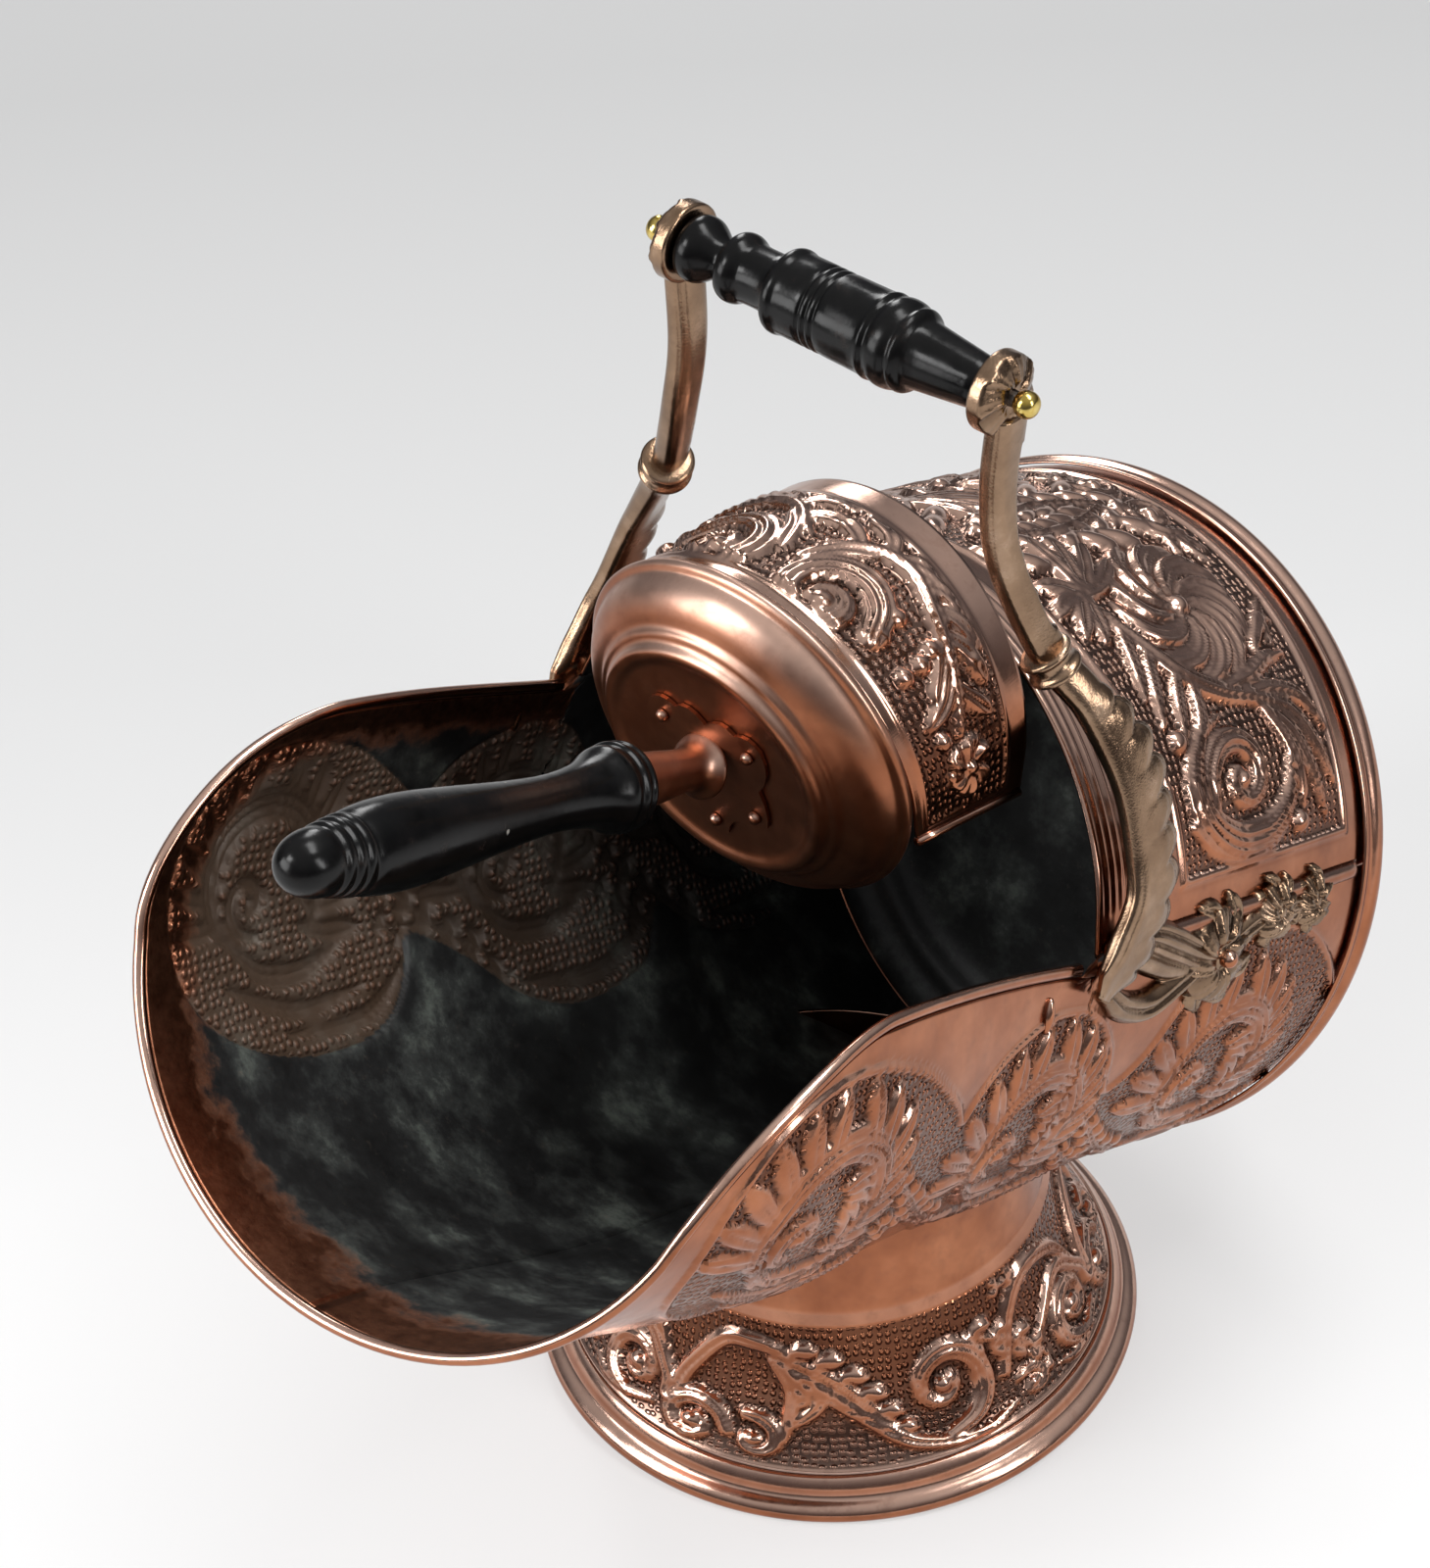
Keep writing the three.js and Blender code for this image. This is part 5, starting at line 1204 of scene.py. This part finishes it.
bronze = cast_bronze()
grip_y = 20.7
grip_z = 496
arm_top = Vector((74.9, grip_y, grip_z - 8.5))
foot_station, foot_angle, foot_stand_off = 187.5, math.radians(97.5), 5.4
skin_here = float(skin(foot_station, foot_angle))
arm_foot = (upright.inverted() @ barrel) @ Vector(on_barrel(foot_station, foot_angle,
                                                            skin_here + foot_stand_off))
arm_bow = [(0.15, -0.03, -2.5), (0.28, 0.04, -3.5), (0.455, 0.27, 3.5), (0.54, 0.48, 11),
           (0.655, 0.71, 17), (0.775, 0.87, 15), (0.86, 0.96, 9.5), (0.93, 0.985, -3)]
arm_points = [tuple(arm_top)]
for drop, spread, back in arm_bow:
    arm_points.append((arm_top.x + (arm_foot.x - arm_top.x) * spread, grip_y + back,
                       arm_top.z + (arm_foot.z - arm_top.z) * drop))
arm_line = smooth_line([*arm_points, tuple(arm_foot)])
arm_lengths = np.concatenate([[0], np.cumsum(np.linalg.norm(np.diff(arm_line, axis=0), axis=1))])
collar_share = 0.425
leaf_share = 0.5


def along_arm(share):
    """Places on the arm's middle line, and its directions to the front and outwards."""
    wanted = share * arm_lengths[-1]
    places = np.stack([np.interp(wanted, arm_lengths, arm_line[:, k]) for k in range(3)], -1)
    ahead = np.stack([np.interp(wanted, arm_lengths,
                                np.gradient(arm_line[:, k])) for k in range(3)], -1)
    ahead /= np.linalg.norm(ahead, axis=-1, keepdims=True)
    front = np.cross(ahead, (1.0, 0.0, 0.0))
    front /= np.linalg.norm(front, axis=-1, keepdims=True)
    return places, front, np.cross(front, ahead)


def window(value, low, high, soft):
    """One between low and high, falling to nothing over a soft width outside them."""
    return np.clip(np.minimum(value - low, high - value) / soft + 1, 0, 1)


def lay_shaft(across, along):
    angle = across * 2 * math.pi
    places, front, outwards = along_arm(along)
    half = eased(along, (0, 8.2), (0.2, 7.6), (collar_share, 7.2), (leaf_share, 7.4), (0.66, 10.4),
                 (0.9, 10.8), (0.96, 9.6), (1, 4.4))
    thick = eased(along, (0, 5.6), (collar_share, 5.6), (0.75, 4.9), (0.92, 4.6), (1, 1.8))
    # The shaft stands a little behind its middle line, the leaf a little ahead of it.
    shift = eased(along, (0, -1.6), (collar_share, -1.4), (0.6, 0.4), (0.8, 1.8), (1, 1.8))
    places = places + front * shift[..., None]
    bevelled = 0.72
    wide = np.sign(np.cos(angle)) * np.abs(np.cos(angle)) ** bevelled
    deep = np.sign(np.sin(angle)) * np.abs(np.sin(angle)) ** bevelled
    at_back = window(np.degrees(angle), 125, 182, 14)
    notch = np.abs(np.sin(np.clip((along - 0.05) / 0.33, 0, 1) * 5 * math.pi)) ** 0.45
    cut = 3.0 * notch * at_back * (along > 0.05) * (along < 0.38)
    lobe_at = np.clip((along - leaf_share) / 0.46, 0, 1)
    leafed = window(along, 0.53, 0.95, 0.03)
    lobe = np.abs(np.sin((lobe_at * 9 + np.degrees(angle) / 360) * math.pi)) ** 0.6
    serrated = 1 + 0.5 * (lobe - 0.5) * leafed * (np.cos(angle) < 0)
    slanting = np.degrees(angle) * 0.045 + lobe_at * 14
    raised = (1.5 * lobe + 0.9 * np.abs(np.sin(slanting * math.pi)) ** 0.7) * leafed * window(
        np.degrees(angle), 100, 180, 20)
    ribbed = 0.8 * np.abs(np.sin(np.degrees(angle) / 180 * 4 * math.pi)) * window(
        along, 0.82, 0.98, 0.06) * (np.sin(angle) > 0)
    relief = raised + ribbed - cut
    swell = 1 + relief / np.hypot(half, thick)
    points = (places + front * (half * wide * serrated * swell)[..., None]
              + outwards * (thick * deep * swell)[..., None])
    # The leaf's low places and the notches are darkened through the recess value: patina and painted
    # shade.
    hollow = np.clip((0.9 - relief) * 0.28, 0,
                     1) * leafed * at_back + 0.4 * notch * at_back * (cut > 0)
    values = {"recess": np.clip(hollow, 0, 1)}
    return points, np.stack([angle * 6, along * arm_lengths[-1]], -1), values


def facing(spot, direction):
    """Puts what was made about Z at the spot, with its Z along the direction."""
    turn = Vector((0, 0, 1)).rotation_difference(direction)
    return Matrix.Translation(spot) @ turn.to_matrix().to_4x4()


def closed_casting(bm):
    """Joins a rolled-up sheet along its seam and closes its two ends."""
    bmesh.ops.remove_doubles(bm, verts=bm.verts, dist=0.004)
    open_edges = [edge for edge in bm.edges if edge.is_boundary]
    bmesh.ops.holes_fill(bm, edges=open_edges)
    bmesh.ops.dissolve_degenerate(bm, edges=bm.edges, dist=1e-4)


def mirrored(bm, hand):
    """The right-hand piece as it is, or its mirror image for the left."""
    bmesh.ops.scale(bm, vec=(hand, 1, 1), verts=bm.verts)
    bmesh.ops.recalc_face_normals(bm, faces=bm.faces)
    return bm


collar_outline = [(0, -6), (7.8, -6), (9.4, -5.7), (10.4, -5), (10.6, -4.2), (10.4, -3.4),
                  (9.2, -2.7),
                  (8.7, -1.6), (8.6, 0.4), (9.2, 1.8), (10.4, 2.5), (10.7, 3.4), (10.5, 4.5),
                  (9.4, 5.2),
                  (8, 5.6), (0, 5.6)]
for side, hand in both_sides:
    shaft = laid_sheet(64, 260, lay_shaft)
    closed_casting(shaft)
    piece("arm_shaft_cast_" + side, mirrored(shaft, hand), bronze,
          stands_for=["arm_" + side], into=upright)
    places, front, outwards = along_arm(np.array(collar_share))
    ahead = Vector(np.cross(outwards, front))
    collar = turned(collar_outline, 40)
    collar.transform(facing(places, ahead))
    piece("arm_collar_cast_" + side, mirrored(collar, hand), bronze,
          stands_for=["arm_" + side], subdivisions=1, into=upright)

# ---------------------------------------------------------------- arms: drums and florets
# The drums that hold the grip's rod and the three florets on each side are round castings with
# curling petals; a copper rivet goes through the largest.


def round_casting(outline, petals, lift, turn, ribs):
    """A closed round body about Z through an outline of (radius, height), with curling petals
    raised between two places on the outline, given with their heights in lift."""
    rings = np.array(outline, float)
    lengths = np.concatenate([[0], np.cumsum(np.linalg.norm(np.diff(rings, axis=0), axis=1))])
    places, heights = zip(*lift)

    def lay(across, share):
        wanted = share * lengths[-1]
        radius = np.interp(wanted, lengths, rings[:, 0])
        height = np.interp(wanted, lengths, rings[:, 1])
        rise = np.interp(share, places, heights)
        phase = (across * petals + share * turn) % 1
        ribbed = 0.7 + 0.3 * np.abs(np.sin(phase * ribs * math.pi))
        petal = phase ** 0.8 * np.clip((1 - phase) / 0.14, 0, 1) ** 0.6 * ribbed
        raised = rise * petal
        lean = np.where(radius > 0.6 * rings[:, 0].max(), 0.6, 0.15)
        full = radius + raised * lean * (radius > 0.3)
        angle = across * 2 * math.pi
        points = np.stack([full * np.cos(angle), full * np.sin(angle),
                           height + raised * (1 - 0.5 * lean)], -1)
        # Between the petals and at their roots the recess value darkens the bronze: patina and painted
        # shade.
        values = {"recess": np.clip(0.7 - petal, 0, 1) * np.clip(rise, 0, 1)}
        return points, np.stack([angle * 10, wanted], -1), values

    bm = laid_sheet(96, 40, lay)
    closed_casting(bm)
    bmesh.ops.recalc_face_normals(bm, faces=bm.faces)
    return bm


drum_outline = [(3.6, 0), (14.4, 0), (15.2, 0.5), (15.4, 1.2), (15.4, 5.2), (15.2, 5.9),
                (14.6, 6.3),
                (13.4, 6.8), (11, 7.9), (7.4, 8.8), (3.6, 9.2)]
drum_start = 69.4
florets = (("main", 108, 97.5, 19.5, 8.5, 8), ("middle", 72, 102, 11.5, 9.5, 7),
           ("back", 45, 101.5, 10.5, 8, 7))
for side, hand in both_sides:
    drum = round_casting(drum_outline, 7, ((0, 0), (0.56, 0), (0.62, 1.6), (0.9, 2.2), (0.96, 0.6),
                                           (1, 0)),
                         0.9, 3)
    drum.transform(Matrix.Translation((drum_start, grip_y, grip_z)) @ Matrix.Rotation(math.pi / 2,
                                                                                      4, "Y"))
    piece("arm_drum_cast_" + side, mirrored(drum, hand), bronze,
          stands_for=["arm_" + side], into=upright)
    for name, station, angle, radius, rise, petals in florets:
        top = rise - 3.6
        outline = [(0, top + 1.2), (0.16 * radius, top + 0.9), (0.24 * radius, top - 0.6),
                   (0.36 * radius, top), (0.55 * radius, top), (0.74 * radius, 0.68 * top),
                   (0.9 * radius, 0.3 * top), (0.96 * radius, -0.6), (0.8 * radius, -2.6),
                   (0, -2.6)]
        floret = round_casting(outline, petals, ((0, 0), (0.12, 0), (0.2, 3.0), (0.42, 3.6),
                                                 (0.56, 3.0),
                                                 (0.64, 1.2), (0.68, 0)), 1.2, 3)
        spot = on_barrel(station, math.radians(angle), float(skin(station, math.radians(angle))))
        outward = Vector((math.sin(math.radians(angle)), 0, -math.cos(math.radians(angle))))
        floret.transform(facing(spot, outward))
        piece("arm_floret_" + name + "_" + side, mirrored(floret, hand), bronze,
              stands_for=["arm_" + side], into=barrel)
        if name == "main":
            head = turned([(0, 4), (3.6, 4), (3.8, 7.6), (3.6, 9), (2.6, 10.2), (1.2, 10.8),
                           (0, 10.9)], 24)
            head.transform(facing(spot, outward))
            piece("arm_rivet_head_" + side, mirrored(head, hand), plain_copper,
                  stands_for=["arm_rivet_" + side], subdivisions=1, into=barrel)

# ---------------------------------------------------------------- arms: stems and leaves of the spray
# Ribbed stems run from each arm's leaf along the joint of body and hood to the florets, with small
# leaves about them, all cast in one with the arm and bedded on the copper.
spray_start, spray_end = 28, 194
spray_low, spray_high = -6, 48


def spray_relief(u, v):
    relief = Relief(u, v)
    relief.stroke([(172, 2), (156, 3), (138, 10), (120, 18), (106, 20)], 8.0, 6.6, ribs=3, tip=0.7,
                  root=0.5)
    relief.stroke([(178, 22), (166, 30), (150, 33), (132, 27), (118, 22)], 7.0, 5.8, ribs=2,
                  tip=0.6, root=0.7)
    relief.stroke([(178, 10), (162, 12), (142, 20), (122, 24)], 4.4, 4.6, ribs=1, tip=0.5, root=0.6)
    relief.stroke([(106, 20), (88, 13), (70, 10), (46, 11)], 5.0, 4.6, ribs=2, tip=0.6)
    for (cu, cv), reach, count in (((108, 20.5), 24, 8), ((72, 9.7), 15, 7), ((45, 10.9), 13.5, 6)):
        for k in range(count):
            turn = 2 * math.pi * (k + 0.3) / count
            mid = (cu + 0.7 * reach * math.cos(turn), cv + 0.7 * reach * math.sin(turn))
            tip_at = (cu + reach * math.cos(turn + 0.3), cv + reach * math.sin(turn + 0.3))
            relief.stroke([(cu, cv), mid, tip_at], 0.24 * reach, 3.8, ribs=2, tip=0.3, belly=0.66)
    return relief.height


def lay_spray(across, along):
    u = spray_start + (spray_end - spray_start) * along
    v = spray_low + (spray_high - spray_low) * across
    height = spray_relief(u, v)
    angle = side_zero - v / back_radius
    # Bare places lie just under the copper's face, where they are trimmed away.
    radius = skin(u, angle) + np.where(height > 0.15, height + 0.4, -0.9)
    values = {"recess": hollows(height, 3, 0.4), "kept": height}
    return on_barrel(u, angle, radius), np.stack([u, v], -1), values


for side, hand in both_sides:
    stems = laid_sheet(76, 230, lay_spray)
    kept = stems.verts.layers.float["kept"]
    bare = [face for face in stems.faces if all(vert[kept] <= 0.15 for vert in face.verts)]
    bmesh.ops.delete(stems, geom=bare, context="FACES")
    bmesh.ops.scale(stems, vec=(hand, 1, 1), verts=stems.verts)
    outward_faces(stems)
    stems_piece = piece("arm_spray_cast_" + side, stems, bronze,
                        stands_for=["arm_" + side], into=barrel)
    walled(stems_piece, 0.5)

# ---------------------------------------------------------------- rod and ball nuts
# An iron rod runs through the grip between the drums; a turned brass ball is screwed on each end.
brass, tree = new_material("polished_yellow_brass")
in_mm = in_millimetres(tree)
haze = put(tree, "TexNoise", Vector=in_mm, Scale=1 / 3, Detail=4.0)
tone = ramp(tree, haze, (0.35, "#B89A45"), (0.7, "#D8C27A"))
rough = put(tree, "MapRange", Value=haze, To_Min=0.1, To_Max=0.24)
surfaced(brass, Base_Color=tone, Metallic=1.0, Roughness=rough)
ball_outline = [(0, 0), (3.4, 0), (3.6, 0.5), (4.4, 1.5), (5.0, 2.8), (5.2, 4.2), (5.0, 5.6),
                (4.3, 7),
                (3.2, 8), (1.7, 8.5), (0, 8.6)]
ball_start = 80.6
for side, hand in both_sides:
    ball = turned(ball_outline, 32)
    ball.transform(Matrix.Translation((ball_start, grip_y, grip_z)) @ Matrix.Rotation(math.pi / 2,
                                                                                      4, "Y"))
    piece("ball_nut_turned_" + side, mirrored(ball, hand), brass,
          stands_for=["ball_nut_" + side], subdivisions=1, into=upright)

iron, tree = new_material("drawn_iron_rod")
in_mm = in_millimetres(tree)
scale_marks = put(tree, "TexNoise", Vector=in_mm, Scale=1 / 2, Detail=5.0)
tone = ramp(tree, scale_marks, (0.35, "#4E4B49"), (0.7, "#7A7672"))
surfaced(iron, Base_Color=tone, Metallic=1.0, Roughness=0.42)
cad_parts["grip_rod"].data.materials.clear()
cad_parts["grip_rod"].data.materials.append(iron)

# ---------------------------------------------------------------- back bow handle
# A cast bronze bow, thicker at its middle, stands off the dish on two round pads. Held with the
# other hand, it tips the scuttle.
dish_face = 17.3
bow_half, bow_reach, bow_radius = 46, 40, 5.2
bow_foot = dish_face + 2
bow_line = smooth_line([(bow_half, bow_foot, 0), (bow_half + 2, bow_foot + 0.55 * bow_reach, 0),
                        (0.72 * bow_half, bow_foot + 0.95 * bow_reach, 0),
                        (0, bow_foot + bow_reach, 0),
                        (-0.72 * bow_half, bow_foot + 0.95 * bow_reach, 0),
                        (-bow_half - 2, bow_foot + 0.55 * bow_reach, 0), (-bow_half, bow_foot, 0)],
                        4)
bow = tube(bow_line, lambda t: bow_radius * (0.8 + 0.34 * math.sin(math.pi * t)), 20)
piece("back_bow_cast", bow, bronze, stands_for=["back_bow_handle"], into=barrel)
pad_outline = [(0, 0), (12.4, 0), (12.9, 0.6), (12.8, 1.6), (11.4, 2.6), (8.4, 3.4), (7.4, 4.2),
               (6.6, 6.6),
               (0, 6.6)]
for side, hand in both_sides:
    pad = turned(pad_outline, 40)
    pad.transform(Matrix.Translation((hand * bow_half, dish_face,
                                      0)) @ Matrix.Rotation(-math.pi / 2, 4, "X"))
    piece("back_bow_pad_" + side, pad, bronze, stands_for=["back_bow_handle"],
          subdivisions=1, into=barrel)
